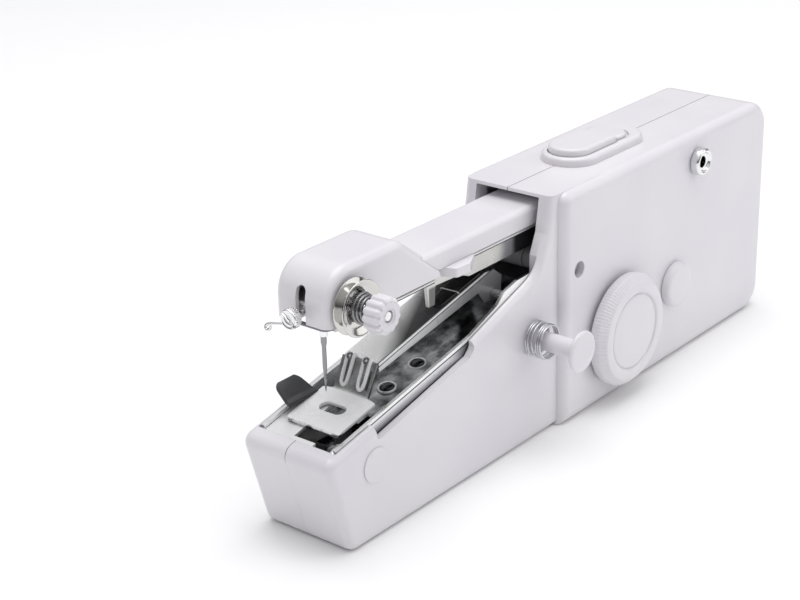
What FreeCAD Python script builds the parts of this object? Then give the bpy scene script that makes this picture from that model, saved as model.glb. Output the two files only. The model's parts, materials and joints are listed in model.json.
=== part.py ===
import FreeCAD, Part
import math
import os
import Sketcher
from collections import namedtuple
from types import SimpleNamespace
from FreeCAD import Placement, Rotation, Vector

# Hand-held battery sewing machine, in millimetres.
# +X runs from the needle end to the battery end, the hand wheel is on the -Y side and +Z is up.
# The origin is on the underside, on the seam plane, below the front face of the rear housing.

DIMENSIONS = {
    # housing and lower arm
    "body_length": 110, "body_height": 68, "body_half": 17, "wall": 2,
    "corner_radius": 8, "front_radius": 3.5, "edge_radius": 3,
    "arm_half": 14.5, "arm_edge_radius": 2.2, "channel_half": 12.6, "toe_top_x": -94.5, "toe_top_z": 27,
    "toe_foot_x": -87, "toe_wall": 3.4, "bend_x": -36, "bend_z": 39, "neck_x": -9, "neck_z": 48,
    "throat_half": 10.3, "throat_low": 46, "throat_high": 67.1,
    # drive train
    "wheel_x": 27, "wheel_z": 21, "wheel_radius": 16.5, "wheel_depth": 5.6, "disc_radius": 11,
    "shaft_radius": 2, "gear_module": 0.75, "crank_throw": 3.85, "cam_throw": 2, "cam_radius": 5,
    "running_gap": 0.05,
    # needle arm
    "pivot_x": 14, "pivot_z": 56, "needle_x": -78, "needle_low": 36.5, "arm_wall_half": 6.9, "arm_sheet": 1,
    "head_front": -85.5, "head_rear": -43, "head_low": 57.5, "head_high": 71.6, "head_half": 8.6,
    "cover_half": 8.2, "cover_high": 64.4, "cover_skin": 1.2, "slot_half": 1.5,
    "tension_x": -77.8, "tension_z": 61.8, "knob_radius": 4.75,
    # lower frame, presser and looper
    "frame_half": 12.3, "frame_sheet": 1, "floor_drop": 6.6, "slope": 0.204,
    "presser_half": 5.6, "sole_half": 8.6, "presser_pivot_x": -17, "presser_pivot_z": 43.6,
    "looper_x": -66, "looper_y": 6, "rod_low": 13, "rod_high": 18,
    # thread stand, switch, jack and cells
    "spool_x": -11, "spool_z": 30.7, "spool_radius": 2.6, "spool_reach": 15.5,
    "switch_x": 38, "switch_length": 38, "switch_half": 8.5, "plate_rise": 2.4,
    "jack_x": 67.5, "jack_z": 59.5, "jack_bore": 1.75, "cap_x": 56.5, "cap_z": 24.5, "cap_radius": 6.8,
    "cell_radius": 7.1, "cell_length": 49.2, "cell_spacing": 14.5, "cell_x": 55.2, "cell_low": 10.2,
    "door_start": 53, "door_end": 101, "door_half": 12.5, "door_thickness": 1.8,
}

doc = FreeCAD.newDocument("HandSewingMachine")
sheet = doc.addObject("Spreadsheet::Sheet", "Sheet")
for row, (alias, amount) in enumerate(DIMENSIONS.items(), start=1):
    sheet.set(f"A{row}", alias)
    sheet.set(f"B{row}", str(amount))
    sheet.setAlias(f"B{row}", alias)
doc.recompute()


class Size:
    """A length that carries both its value and the sheet expression that gives it."""

    def __init__(self, value, text=None):
        self.value = float(value)
        self.text = text or f"{self.value:.6f}"

    def __add__(self, other):
        return Size(self.value + size(other).value, f"({self.text} + {size(other).text})")

    def __sub__(self, other):
        return Size(self.value - size(other).value, f"({self.text} - {size(other).text})")

    def __mul__(self, other):
        return Size(self.value * size(other).value, f"({self.text} * {size(other).text})")

    def __truediv__(self, other):
        return Size(self.value / size(other).value, f"({self.text} / {size(other).text})")

    def __radd__(self, other):
        return size(other) + self

    def __rsub__(self, other):
        return size(other) - self

    def __rmul__(self, other):
        return size(other) * self

    def __neg__(self):
        return Size(-self.value, f"(0 - {self.text})")


def size(amount):
    return amount if isinstance(amount, Size) else Size(amount)


D = SimpleNamespace(**{alias: Size(sheet.get(alias), f"Sheet.{alias}") for alias in DIMENSIONS})

Circle = namedtuple("Circle", "across up radius")
UP = Vector(0, 0, 1)
FORWARD, REARWARD = Vector(-1, 0, 0), Vector(1, 0, 0)
WHEELWARD, AWAY = Vector(0, -1, 0), Vector(0, 1, 0)
BIG = 200
parts = []


# ---------------------------------------------------------------- drawing helpers

def keep(item, label):
    """Name a finished sub-part and list it for export."""
    item.Label = label
    parts.append(item)
    return item


def new_body(label):
    body = doc.addObject("PartDesign::Body", label)
    return keep(body, label)


def sketch(body, role, offset=0):
    plane = next(item for item in body.Origin.OriginFeatures if item.Role == role)
    drawing = body.newObject("Sketcher::SketchObject", body.Label + "_sketch")
    drawing.AttachmentSupport = [(plane, "")]
    drawing.MapMode = "FlatFace"
    drawing.setExpression("AttachmentOffset.Base.z", size(offset).text)
    return drawing


def dimension(drawing, kind, places, amount):
    amount = size(amount)
    index = drawing.addConstraint(Sketcher.Constraint(kind, *places, amount.value))
    if "Sheet." in amount.text:
        drawing.setExpression(f"Constraints[{index}]", amount.text)


def draw_polygon(drawing, points):
    spots = [Vector(size(across).value, size(up).value, 0) for across, up in points]
    lines = [drawing.addGeometry(Part.LineSegment(spot, spots[(index + 1) % len(spots)]))
             for index, spot in enumerate(spots)]
    for index, line in enumerate(lines):
        drawing.addConstraint(Sketcher.Constraint("Coincident", line, 2, lines[(index + 1) % len(lines)], 1))
    for line, (across, up) in zip(lines, points):
        dimension(drawing, "DistanceX", (-1, 1, line, 1), across)
        dimension(drawing, "DistanceY", (-1, 1, line, 1), up)


def draw_circle(drawing, circle):
    centre = Vector(size(circle.across).value, size(circle.up).value, 0)
    index = drawing.addGeometry(Part.Circle(centre, UP, size(circle.radius).value))
    dimension(drawing, "DistanceX", (-1, 1, index, 3), circle.across)
    dimension(drawing, "DistanceY", (-1, 1, index, 3), circle.up)
    dimension(drawing, "Radius", (index,), circle.radius)


def draw(drawing, outlines):
    for outline in outlines:
        if isinstance(outline, Circle):
            draw_circle(drawing, outline)
        else:
            draw_polygon(drawing, outline)


def rectangle(left, right, low, high):
    return [(left, low), (right, low), (right, high), (left, high)]


def settle(feature):
    """Recompute, and stop at once if the new feature failed."""
    doc.recompute()
    if not feature.isValid() or feature.Shape.isNull():
        raise RuntimeError(f"{feature.Label}: the feature failed")
    return feature


def add(body, role, low, high, *outlines):
    """Pad the outlines between two places along the plane's own axis (X, Y or Z)."""
    backwards = role == "XZ_Plane"
    drawing = sketch(body, role, -size(high) if backwards else low)
    draw(drawing, outlines)
    pad = body.newObject("PartDesign::Pad", body.Label + "_pad")
    pad.Profile = drawing
    pad.setExpression("Length", (size(high) - low).text)
    return settle(pad)


def cut(body, role, low, high, *outlines):
    """Pocket the outlines between two places along the plane's own axis, and make sure it cuts."""
    before = body.Shape.Volume
    backwards = role == "XZ_Plane"
    drawing = sketch(body, role, -size(low) if backwards else high)
    draw(drawing, outlines)
    pocket = body.newObject("PartDesign::Pocket", body.Label + "_pocket")
    pocket.Profile = drawing
    pocket.setExpression("Length", (size(high) - low).text)
    settle(pocket)
    if body.Shape.Volume > before - 1e-3:
        raise RuntimeError(f"{body.Label}: a pocket cut nothing")
    return pocket


def dress(body, kind, amount, chosen):
    """Fillet or chamfer the edges of the body's tip that the chosen() test picks."""
    names = [f"Edge{index}" for index, edge in enumerate(body.Tip.Shape.Edges, start=1) if chosen(edge)]
    if not names:
        raise RuntimeError(f"{body.Label}: no edge to dress")
    base = body.Tip
    feature = body.newObject("PartDesign::" + kind, body.Label + "_" + kind)
    feature.Base = (base, names)
    feature.setExpression("Radius" if kind == "Fillet" else "Size", size(amount).text)
    body.Tip = feature
    return settle(feature)


def join(body, other):
    """Fuse another body into this one."""
    feature = body.newObject("PartDesign::Boolean", body.Label + "_join")
    feature.Type = "Fuse"
    feature.setObjects([other])
    return settle(feature)


def spans(edge, **limits):
    """True when the edge's box lies within the given ranges, such as x=(0, 5)."""
    box = edge.BoundBox
    lows = {"x": box.XMin, "y": box.YMin, "z": box.ZMin}
    highs = {"x": box.XMax, "y": box.YMax, "z": box.ZMax}
    return all(lows[axis] >= low - 1e-3 and highs[axis] <= high + 1e-3 for axis, (low, high) in limits.items())


def along(edge, axis, shortest=0.5):
    box = edge.BoundBox
    lengths = {"x": box.XLength, "y": box.YLength, "z": box.ZLength}
    return lengths[axis] > shortest and all(lengths[other] < 1e-3 for other in lengths if other != axis)


def place(item, base, direction):
    item.Placement = Placement(Vector(*(size(amount).value for amount in base)), Rotation(UP, direction))
    for axis, amount in zip("xyz", base):
        if "Sheet." in size(amount).text:
            item.setExpression(f"Placement.Base.{axis}", size(amount).text)


def turned(label, outline, base, direction):
    """A turned piece: the outline gives radius and height, and is spun about its own axis."""
    body = new_body(label)
    drawing = sketch(body, "XZ_Plane")
    draw(drawing, [outline])
    spin = body.newObject("PartDesign::Revolution", label + "_spin")
    spin.Profile = drawing
    spin.ReferenceAxis = (drawing, ["V_Axis"])
    spin.Angle = 360
    place(body, base, direction)
    doc.recompute()
    return body


def ring(label, inner, outer, length, base, direction):
    return turned(label, rectangle(inner, outer, 0, length), base, direction)


def rod(label, radius, length, base, direction):
    item = doc.addObject("Part::Cylinder", label)
    item.setExpression("Radius", size(radius).text)
    item.setExpression("Height", size(length).text)
    place(item, base, direction)
    return item


def fused(label, items):
    item = doc.addObject("Part::MultiFuse", label)
    item.Shapes = items
    return keep(item, label)


def group(label, items):
    """Identical loose pieces that share one node, kept as separate solids."""
    item = doc.addObject("Part::Compound", label)
    item.Links = items
    return keep(item, label)


def coil(label, radius, wire, pitch, height, base, direction, cone=0):
    helix = doc.addObject("Part::Helix", label + "_helix")
    helix.setExpression("Radius", size(radius).text)
    helix.Pitch = pitch
    helix.Height = height
    helix.Angle = cone
    helix.SegmentLength = 0.5
    place(helix, base, direction)
    doc.recompute()
    section = doc.addObject("Part::Circle", label + "_wire")
    section.Radius = wire
    here = Placement(Vector(size(radius).value, 0, 0), Rotation(Vector(1, 0, 0), 90))
    section.Placement = helix.Placement.multiply(here)
    sweep = doc.addObject("Part::Sweep", label)
    sweep.Sections = [section]
    sweep.Spine = (helix, [f"Edge{index}" for index, _ in enumerate(helix.Shape.Edges, start=1)])
    sweep.Solid = True
    sweep.Frenet = True
    return sweep


def turn_point(point, centre, degrees):
    across, up = point[0] - centre[0], point[1] - centre[1]
    cosine, sine = math.cos(math.radians(degrees)), math.sin(math.radians(degrees))
    return centre[0] + across * cosine - up * sine, centre[1] + across * sine + up * cosine


# ---------------------------------------------------------------- places worked out from the dimensions

WHEEL = (D.wheel_x, D.wheel_z)
REDUCTION_ANGLE, MOTOR_ANGLE = 60, 47
MAIN_TEETH, SMALL_TEETH, BIG_TEETH, MOTOR_TEETH = 40, 10, 30, 8


def meshed(centre, teeth, other_teeth, degrees):
    """Centre of a gear that meshes with the gear at the given centre, in the given direction."""
    reach = D.gear_module * ((teeth + other_teeth) / 2)
    angle = math.radians(degrees)
    return centre[0] + reach * math.cos(angle), centre[1] + reach * math.sin(angle)


REDUCTION = meshed(WHEEL, MAIN_TEETH, SMALL_TEETH, REDUCTION_ANGLE)
MOTOR = meshed(REDUCTION, BIG_TEETH, MOTOR_TEETH, MOTOR_ANGLE)
LEVER = Vector(D.wheel_x.value - D.pivot_x.value, 0, D.wheel_z.value - D.pivot_z.value).normalize()
CRANK_PIN = (D.wheel_x + D.crank_throw * LEVER.z, D.wheel_z - D.crank_throw * LEVER.x)
SKIN = D.body_half - D.wall
RIVETS = (-55, -42.5)
PLATE_POSTS = ((8.5, 8), (46.5, 8.5), (8.5, 30))
CASE_POSTS = ((104, 60), (58, 40), (-81.5, 9))
FRONT_SCREW = (7, 45)
SPLIT_GAP = 0.05
PRESS_GAP = 0.02
PILOT_RADIUS, HEAD_RADIUS, SCREW_SEAT = 1.25, 2.35, 3.9
PIVOT_RADIUS, SLEEVE_RADIUS = 1.5, 2.83
REDUCTION_BORE = 1.52
CRANK_PIN_RADIUS = 1.5
PRESSER_PIN_RADIUS = 1.2
LEVELS = {"main": (-11.4, -8.4), "small": (-11.6, -8.2), "big": (-14.2, -11.8), "pinion": (-14.3, -11.7)}


def rim(across):
    """Height of the lower arm's rim at a place along it, in front of the bend."""
    return D.toe_top_z + (D.bend_z - D.toe_top_z) / (D.bend_x - D.toe_top_x) * (across - D.toe_top_x)


def floor(across):
    """Height of the chrome frame's floor, which runs parallel to the rim."""
    return rim(across) - D.floor_drop


# ---------------------------------------------------------------- housing

def lower_arm_block(label, side, between):
    """Solid block of the lower arm, whose top sweeps up into the housing's front."""
    block = new_body(label + "_arm")
    parts.pop()
    add(block, "XZ_Plane", *between(0, D.arm_half), [
        (20, 0), (D.toe_foot_x, 0), (D.toe_top_x, D.toe_top_z), (D.bend_x, D.bend_z), (D.neck_x, D.neck_z),
        (-4.4, 58), (-2.6, D.body_height), (20, D.body_height)])
    dress(block, "Fillet", 3, lambda edge: along(edge, "y", 5) and edge.BoundBox.XMax < D.toe_foot_x.value + 1)
    dress(block, "Fillet", 9, lambda edge: along(edge, "y", 5) and spans(
        edge, x=(D.neck_x.value, D.neck_x.value), z=(D.neck_z.value, D.neck_z.value)))
    face = D.arm_half.value * side
    dress(block, "Fillet", D.arm_edge_radius, lambda edge: spans(edge, x=(-BIG, 19.9), y=(face, face)))
    return block


def housing_shell(label, side):
    """One half of the housing with its half of the lower arm. side is -1 at the hand wheel, +1 behind."""
    body = new_body(label)

    def between(near, far):
        """Two distances from the seam plane, as places along Y with the lower one first."""
        near, far = size(near), size(far)
        return (near, far) if side > 0 else (-far, -near)

    add(body, "XZ_Plane", *between(0, D.body_half), rectangle(0, D.body_length, 0, D.body_height))
    dress(body, "Fillet", D.corner_radius, lambda edge: along(edge, "y") and edge.BoundBox.XMin > 1)
    dress(body, "Fillet", D.front_radius, lambda edge: along(edge, "y") and spans(
        edge, x=(0, 0), z=(D.body_height.value, BIG)))
    outer = D.body_half.value * side
    dress(body, "Fillet", D.edge_radius, lambda edge: spans(edge, y=(outer, outer)))
    join(body, lower_arm_block(label, side, between))
    rear, roof, bevel = D.body_length - D.wall, D.body_height - D.wall, D.corner_radius / 2
    cavity = [(D.wall, D.wall), (rear - bevel, D.wall), (rear, D.wall + bevel), (rear, roof - bevel),
              (rear - bevel, roof), (D.wall + 1.5, roof), (D.wall, roof - 1.5)]
    cut(body, "XZ_Plane", *between(0, SKIN), cavity)
    cut(body, "XZ_Plane", *between(0, D.channel_half), [
        (3, 2.2), (D.toe_foot_x + D.toe_wall, 2.2), (D.toe_top_x + D.toe_wall, D.toe_top_z + 8), (-7, 60),
        (-7, D.throat_low), (3, D.throat_low)])
    cut(body, "XZ_Plane", *between(0, D.throat_half), rectangle(-12, 5, D.throat_low - 1, D.throat_high))

    # battery hatch in the underside
    cut(body, "XY_Plane", 0, D.wall + 0.1, rectangle(
        D.door_start - 0.3, D.door_end + 0.3, *between(0, D.door_half + 0.3)))
    # roof window for the switch
    cut(body, "XY_Plane", D.body_height - D.wall - 0.1, D.body_height, rectangle(22, 49, *between(0, 5.4)))
    # wall that closes off the battery bay, and the arm pivot's boss
    add(body, "XZ_Plane", *between(0, SKIN), rectangle(50.6, 52.2, D.wall, 34))
    add(body, "XZ_Plane", *between(9, SKIN), Circle(D.pivot_x, D.pivot_z, 4))
    cut(body, "XZ_Plane", *between(9, SKIN - 1), Circle(D.pivot_x, D.pivot_z, 1.55))
    return body, between


def wheel_side_shell():
    body, between = housing_shell("wheel_side_shell", -1)
    # shaft boss, gear plate posts and thread stand socket
    add(body, "XZ_Plane", *between(12.4, SKIN), Circle(*WHEEL, 6))
    add(body, "XZ_Plane", *between(7.8, SKIN), *[Circle(*spot, 2.6) for spot in PLATE_POSTS])
    cut(body, "XZ_Plane", *between(7.8, 13), *[Circle(*spot, 0.9) for spot in PLATE_POSTS])
    add(body, "XZ_Plane", *between(14.4, SKIN), Circle(*REDUCTION, 2.8))
    cut(body, "XZ_Plane", *between(14.4, 16), Circle(*REDUCTION, REDUCTION_BORE))
    cut(body, "XZ_Plane", *between(12, D.body_half), Circle(*WHEEL, 4.03))
    add(body, "XZ_Plane", *between(6, D.channel_half), Circle(D.spool_x, D.spool_z, 4.4))
    cut(body, "XZ_Plane", *between(6, D.arm_half), Circle(D.spool_x, D.spool_z, D.spool_radius + 0.04))
    # jack, round cap and the countersunk case screw
    cut(body, "XZ_Plane", *between(SKIN, D.body_half), Circle(D.jack_x, D.jack_z, 2.95))
    cut(body, "XZ_Plane", *between(SKIN, D.body_half), Circle(D.cap_x, D.cap_z, 2.5))
    seat = D.body_half - SCREW_SEAT
    add(body, "XZ_Plane", *between(SPLIT_GAP, SKIN), Circle(*FRONT_SCREW, 3.2))
    cut(body, "XZ_Plane", *between(seat, D.body_half), Circle(*FRONT_SCREW, HEAD_RADIUS))
    cut(body, "XZ_Plane", *between(0, seat), Circle(*FRONT_SCREW, PILOT_RADIUS))
    # screw posts that take the three screws from the far side
    for spot in CASE_POSTS:
        reach = D.arm_half - 1.9 if spot[0] < 0 else SKIN
        add(body, "XZ_Plane", *between(SPLIT_GAP, reach), Circle(*spot, 3))
        cut(body, "XZ_Plane", *between(0, 9), Circle(*spot, PILOT_RADIUS))
    # lowered stretch of the rim with a rounded rear end
    drop = 4.2
    cut(body, "XZ_Plane", *between(D.channel_half - 0.2, D.arm_half), [
        (-77.5, rim(-77.5) + 6), (-76, rim(-76) - drop + 0.6), (-74.6, rim(-74.6) - drop),
        (-39, rim(-39) - drop + 0.9), (-37.4, rim(-37.4) - drop + 2), (-36.9, rim(-36.9) - 1.4),
        (-37.2, rim(-37.2) + 6)])
    add(body, "XZ_Plane", *between(D.arm_half - 0.5, D.arm_half + 0.35), Circle(-77, 20.5, 4.6))
    return body


def plain_side_shell():
    body, between = housing_shell("plain_side_shell", 1)
    add(body, "XZ_Plane", *between(SPLIT_GAP, SKIN), Circle(*FRONT_SCREW, 3.2))
    cut(body, "XZ_Plane", *between(0, 9), Circle(*FRONT_SCREW, PILOT_RADIUS))
    for spot in CASE_POSTS:
        outer = D.arm_half if spot[0] < 0 else D.body_half
        seat = outer - SCREW_SEAT
        add(body, "XZ_Plane", *between(SPLIT_GAP, outer - 1.9), Circle(*spot, 3.2))
        cut(body, "XZ_Plane", *between(seat, outer), Circle(*spot, HEAD_RADIUS))
        cut(body, "XZ_Plane", *between(0, seat), Circle(*spot, PILOT_RADIUS))
    # cradle ribs above and below the motor
    rib_half, rib_thickness = 7, 2
    for low in (MOTOR[1] - 9.9, MOTOR[1] + 7.8):
        rib = rectangle(MOTOR[0] - rib_half, MOTOR[0] + rib_half, low, low + rib_thickness)
        add(body, "XZ_Plane", *between(3, SKIN), rib)
    return body


def shell_screws():
    head, shank, thread_length, length = 2.2, 1.2, 10, 12
    outline = [(0, 0), (shank, 0), (shank, thread_length), (head, thread_length + 1.2), (head, length),
               (0, length)]
    places = [(*FRONT_SCREW, -1)] + [(*spot, 1) for spot in CASE_POSTS]
    screws = []
    for number, (across, up, side) in enumerate(places, start=1):
        outer = D.arm_half if across < 0 else D.body_half
        base = (across, (outer - 1.8 - length) * side, up)
        screws.append(turned(f"shell_screw_{number}", outline, base, WHEELWARD if side < 0 else AWAY))
        parts.pop()
    group("shell_screws", screws)


def battery_door():
    body = new_body("battery_door")
    add(body, "XY_Plane", 0, D.door_thickness, rectangle(D.door_start, D.door_end, -D.door_half, D.door_half))
    dress(body, "Fillet", 0.88, lambda edge: along(edge, "y") and edge.BoundBox.XMax < D.door_start.value + 0.1)
    cut(body, "XY_Plane", 0, 0.5, *[rectangle(start, start + 1, -6, 6) for start in (88, 91, 94)])
    return body


def side_cap():
    high = 3
    outline = [(0, -1.6), (2.45, -1.6), (2.45, 0), (D.cap_radius, 0), (D.cap_radius, high - 1.1),
               (D.cap_radius - 0.5, high - 0.4), (D.cap_radius - 1.6, high), (0, high)]
    return turned("side_cap", outline, (D.cap_x, -D.body_half, D.cap_z), WHEELWARD)


# ---------------------------------------------------------------- switch

def half_round(body, low, high, left, right, half, front):
    """Pad a bar with one round end: a circle at the front or the rear, and a rectangle for the rest."""
    centre = left + half if front else right - half
    add(body, "XY_Plane", low, high, Circle(centre, 0, half))
    add(body, "XY_Plane", low, high, rectangle(centre if front else left, right if front else centre, -half, half))


def switch_plate():
    body = new_body("switch_plate")
    top = D.body_height + D.plate_rise
    left, right = D.switch_x - D.switch_length / 2, D.switch_x + D.switch_length / 2
    add(body, "XY_Plane", D.body_height, top, rectangle(left, right, -D.switch_half, D.switch_half))
    dress(body, "Fillet", D.switch_half - 0.02, lambda edge: along(edge, "z"))
    dress(body, "Fillet", 1.2, lambda edge: spans(edge, z=(top.value, top.value)))
    cut(body, "XY_Plane", D.body_height, top, Circle(27.2, 0, 6.6))
    cut(body, "XY_Plane", D.body_height, top, rectangle(27.2, 40.9, -6.6, 6.6))
    cut(body, "XY_Plane", D.body_height + 1.4, top, Circle(45.4, 0, 6.4))
    cut(body, "XY_Plane", D.body_height + 1.4, top, rectangle(40, 45.4, -6.4, 6.4))
    return body


def power_button():
    body = new_body("power_button")
    low, high = D.body_height + 1.9, D.body_height + 4.4
    half_round(body, low, high, 20.9, 40.5, 6.3, front=True)
    dress(body, "Fillet", 0.9, lambda edge: spans(edge, z=(high.value, high.value)))
    add(body, "XY_Plane", D.body_height - 3.2, low + 0.2, rectangle(27, 34, -3, 3))
    return body


def lock_slider():
    body = new_body("lock_slider")
    low, high = D.body_height + 1.45, D.body_height + 3.4
    add(body, "XY_Plane", low, high, Circle(44.6, 0, 5.9))
    dress(body, "Fillet", 0.8, lambda edge: spans(edge, z=(high.value, high.value)))
    cut(body, "XY_Plane", low, high, rectangle(30, 42.1, -8, 8))
    return body


def switch_works():
    body = new_body("switch_body")
    add(body, "XY_Plane", D.body_height - 11.6, D.body_height - 5.2, rectangle(24, 37, -3, 3))
    cut(body, "XY_Plane", D.body_height - 8.4, D.body_height - 5.2, Circle(30.5, 0, 1.6))
    for spot in (26, 30.5, 35):
        terminal = rectangle(spot - 0.3, spot + 0.3, -1.2, 1.2)
        add(body, "XY_Plane", D.body_height - 14.6, D.body_height - 11.5, terminal)
    keep(rod("switch_plunger", 1.3, 3, (30.5, 0, D.body_height - 6.3), UP), "switch_plunger")


# ---------------------------------------------------------------- power supply

def dc_jack():
    collar = 3
    outline = [(D.jack_bore, 0), (4.1, 0), (4.1, 0.7), (3.6, 1.2), (3.6, collar), (2.9, collar), (2.9, 14),
               (D.jack_bore, 14)]
    turned("dc_jack_bushing", outline, (D.jack_x, -(D.body_half + collar), D.jack_z), AWAY)
    body = new_body("dc_jack_body")
    low, high = -SKIN, -6
    add(body, "XZ_Plane", low, high, rectangle(D.jack_x - 5.2, D.jack_x + 5.2, D.jack_z - 5, D.jack_z + 5))
    cut(body, "XZ_Plane", low, high, Circle(D.jack_x, D.jack_z, 2.93))


def battery_set():
    cells, springs = [], []
    nub, gap, sheet_metal = 1, 2, 0.4
    for number in range(4):
        side, level = (-1, 1)[number % 2], number // 2
        spot = (side * D.cell_spacing / 2, D.cell_low + level * D.cell_spacing)
        facing = 1 if number in (0, 3) else -1
        start = D.cell_x if facing > 0 else D.cell_x + D.cell_length
        length = D.cell_length - nub
        outline = [(0, 0), (D.cell_radius, 0), (D.cell_radius, length), (2.7, length), (2.7, length + nub),
                   (0, length + nub)]
        cells.append(turned(f"cell_{number}", outline, (start, *spot), REARWARD if facing > 0 else FORWARD))
        parts.pop()
        pad_x = D.cell_x - gap if facing > 0 else D.cell_x + D.cell_length + gap
        springs.append(coil(f"battery_spring_{number}", 3.2, 0.28, 0.7, 1.36, (pad_x + 0.3 * facing, *spot),
                            REARWARD if facing > 0 else FORWARD, cone=-20))
    group("battery_cells", cells)
    group("battery_springs", springs)
    plates = []
    reach = D.cell_spacing / 2 + 5
    rear = D.cell_x + D.cell_length + gap
    for name, low in (("front", D.cell_x - gap - sheet_metal), ("rear", rear)):
        plate = doc.addObject("Part::Box", f"contact_{name}")
        for path, amount in (("Length", sheet_metal), ("Width", reach * 2), ("Height", D.cell_spacing + 10),
                             ("Placement.Base.x", low), ("Placement.Base.y", -reach),
                             ("Placement.Base.z", D.cell_low - 5)):
            plate.setExpression(path, size(amount).text)
        plates.append(plate)
    group("battery_contacts", plates)


# ---------------------------------------------------------------- drive train

def gear_outline(teeth, module, centre, tooth_at):
    """Outline of a spur gear with involute flanks and backlash; one tooth points at tooth_at degrees."""
    pitch, pressure, backlash = module * teeth / 2, math.radians(20), 0.13
    base, tip, root = pitch * math.cos(pressure), pitch + 0.85 * module, pitch - 1.25 * module
    inv = math.tan(pressure) - pressure
    half = math.pi / 2 / teeth - backlash / pitch
    start = max(base, root)
    radii = [start + (tip - start) * step / 4 for step in range(5)]
    flank = []
    for radius in radii:
        roll = math.acos(base / radius)
        flank.append((radius, half + inv - (math.tan(roll) - roll)))
    if root < base:
        flank.insert(0, (root, flank[0][1]))
    points = []
    for number in range(teeth):
        middle = math.radians(tooth_at) + 2 * math.pi * number / teeth
        for radius, offset in [(r, -a) for r, a in flank] + [(r, a) for r, a in reversed(flank)]:
            points.append(Vector(centre[0].value + radius * math.cos(middle + offset), 0,
                                 centre[1].value + radius * math.sin(middle + offset)))
    return points


def gear_solid(teeth, centre, tooth_at, level):
    low, high = level
    points = gear_outline(teeth, D.gear_module.value, centre, tooth_at)
    face = Part.Face(Part.makePolygon(points + points[:1]))
    solid = face.extrude(Vector(0, high - low, 0))
    solid.translate(Vector(0, low, 0))
    return solid


def bore_out(shape, centre, radius):
    tool = Part.makeCylinder(radius, BIG, Vector(centre[0].value, -BIG / 2, centre[1].value), AWAY)
    return shape.cut(tool)


def hub(centre, radius, low, high):
    return Part.makeCylinder(radius, high - low, Vector(centre[0].value, low, centre[1].value), AWAY)


def gears():
    """Three gears whose toothed outlines are made directly, because no sketch fits them."""
    facing_small = REDUCTION_ANGLE + 180 + 180 / SMALL_TEETH
    facing_motor = MOTOR_ANGLE + 180 + 180 / MOTOR_TEETH
    main = gear_solid(MAIN_TEETH, WHEEL, REDUCTION_ANGLE, LEVELS["main"]).fuse(hub(WHEEL, 4.4, -12.1, -8.2))
    small = gear_solid(SMALL_TEETH, REDUCTION, facing_small, LEVELS["small"])
    big = gear_solid(BIG_TEETH, REDUCTION, MOTOR_ANGLE, LEVELS["big"])
    pair = big.fuse(small).fuse(hub(REDUCTION, 2.7, -12, -11.4))
    pinion = gear_solid(MOTOR_TEETH, MOTOR, facing_motor, LEVELS["pinion"])
    shapes = {
        "main_gear": bore_out(main, WHEEL, D.shaft_radius.value + PRESS_GAP),
        "reduction_gear": bore_out(pair, REDUCTION, REDUCTION_BORE + 0.04),
        "motor_pinion": bore_out(pinion, MOTOR, 1 + PRESS_GAP),
    }
    for label, shape in shapes.items():
        item = doc.addObject("Part::Feature", label)
        item.Shape = shape.removeSplitter()
        keep(item, label)


def hand_wheel():
    depth = D.wheel_depth
    bore = D.shaft_radius + PRESS_GAP
    return turned("hand_wheel", [
        (bore, 0), (3.4, 0), (3.4, 2.8), (D.wheel_radius - 1, 2.8), (D.wheel_radius, 3.4),
        (D.wheel_radius, depth + 0.6), (D.wheel_radius - 2.2, depth + 2.4), (D.disc_radius + 0.5, depth + 2.4),
        (D.disc_radius + 0.2, depth + 1.7), (D.disc_radius, depth + 1.7), (D.disc_radius - 0.2, depth + 2.1),
        (0, depth + 2.3), (0, depth + 1), (bore, depth + 1)],
        (D.wheel_x, -15, D.wheel_z), WHEELWARD)


def shaft_parts():
    bore = D.shaft_radius + D.running_gap
    ring("shaft_bushes_outer", bore, 4, 2.6, (D.wheel_x, -14.9, D.wheel_z), AWAY)
    outer = parts.pop()
    turned("shaft_bushes_inner", [(bore, 0), (5, 0), (5, 0.3), (3.5, 0.3), (3.5, 1.6), (bore, 1.6)],
           (D.wheel_x, -8.1, D.wheel_z), AWAY)
    inner = parts.pop()
    group("shaft_bushes", [outer, inner])
    keep(rod("main_shaft", D.shaft_radius, 17.4, (D.wheel_x, -21.4, D.wheel_z), AWAY), "main_shaft")
    ring("reduction_shaft", 0, 1.5, 9.2, (REDUCTION[0], -15.8, REDUCTION[1]), AWAY)


def gear_plate():
    body = new_body("gear_plate")
    low, high = -7.8, -6.8
    outline = [(5, 4.5), (50, 4.5), (50, 32), (41, 35.5), (38.6, 40.4), (33, 41), (5, 31)]
    add(body, "XZ_Plane", low, high, outline)
    cut(body, "XZ_Plane", low, high, Circle(*WHEEL, 3.53), Circle(*REDUCTION, REDUCTION_BORE),
        *[Circle(*spot, 1.3) for spot in PLATE_POSTS])
    screws = []
    for number, spot in enumerate(PLATE_POSTS, start=1):
        screws.append(turned(f"gear_plate_screw_{number}",
                             [(0, 0), (0.85, 0), (0.85, 5.2), (1.9, 5.2), (1.9, 6.2), (0, 6.2)],
                             (spot[0], -12, spot[1]), AWAY))
        parts.pop()
    group("gear_plate_screws", screws)


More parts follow.
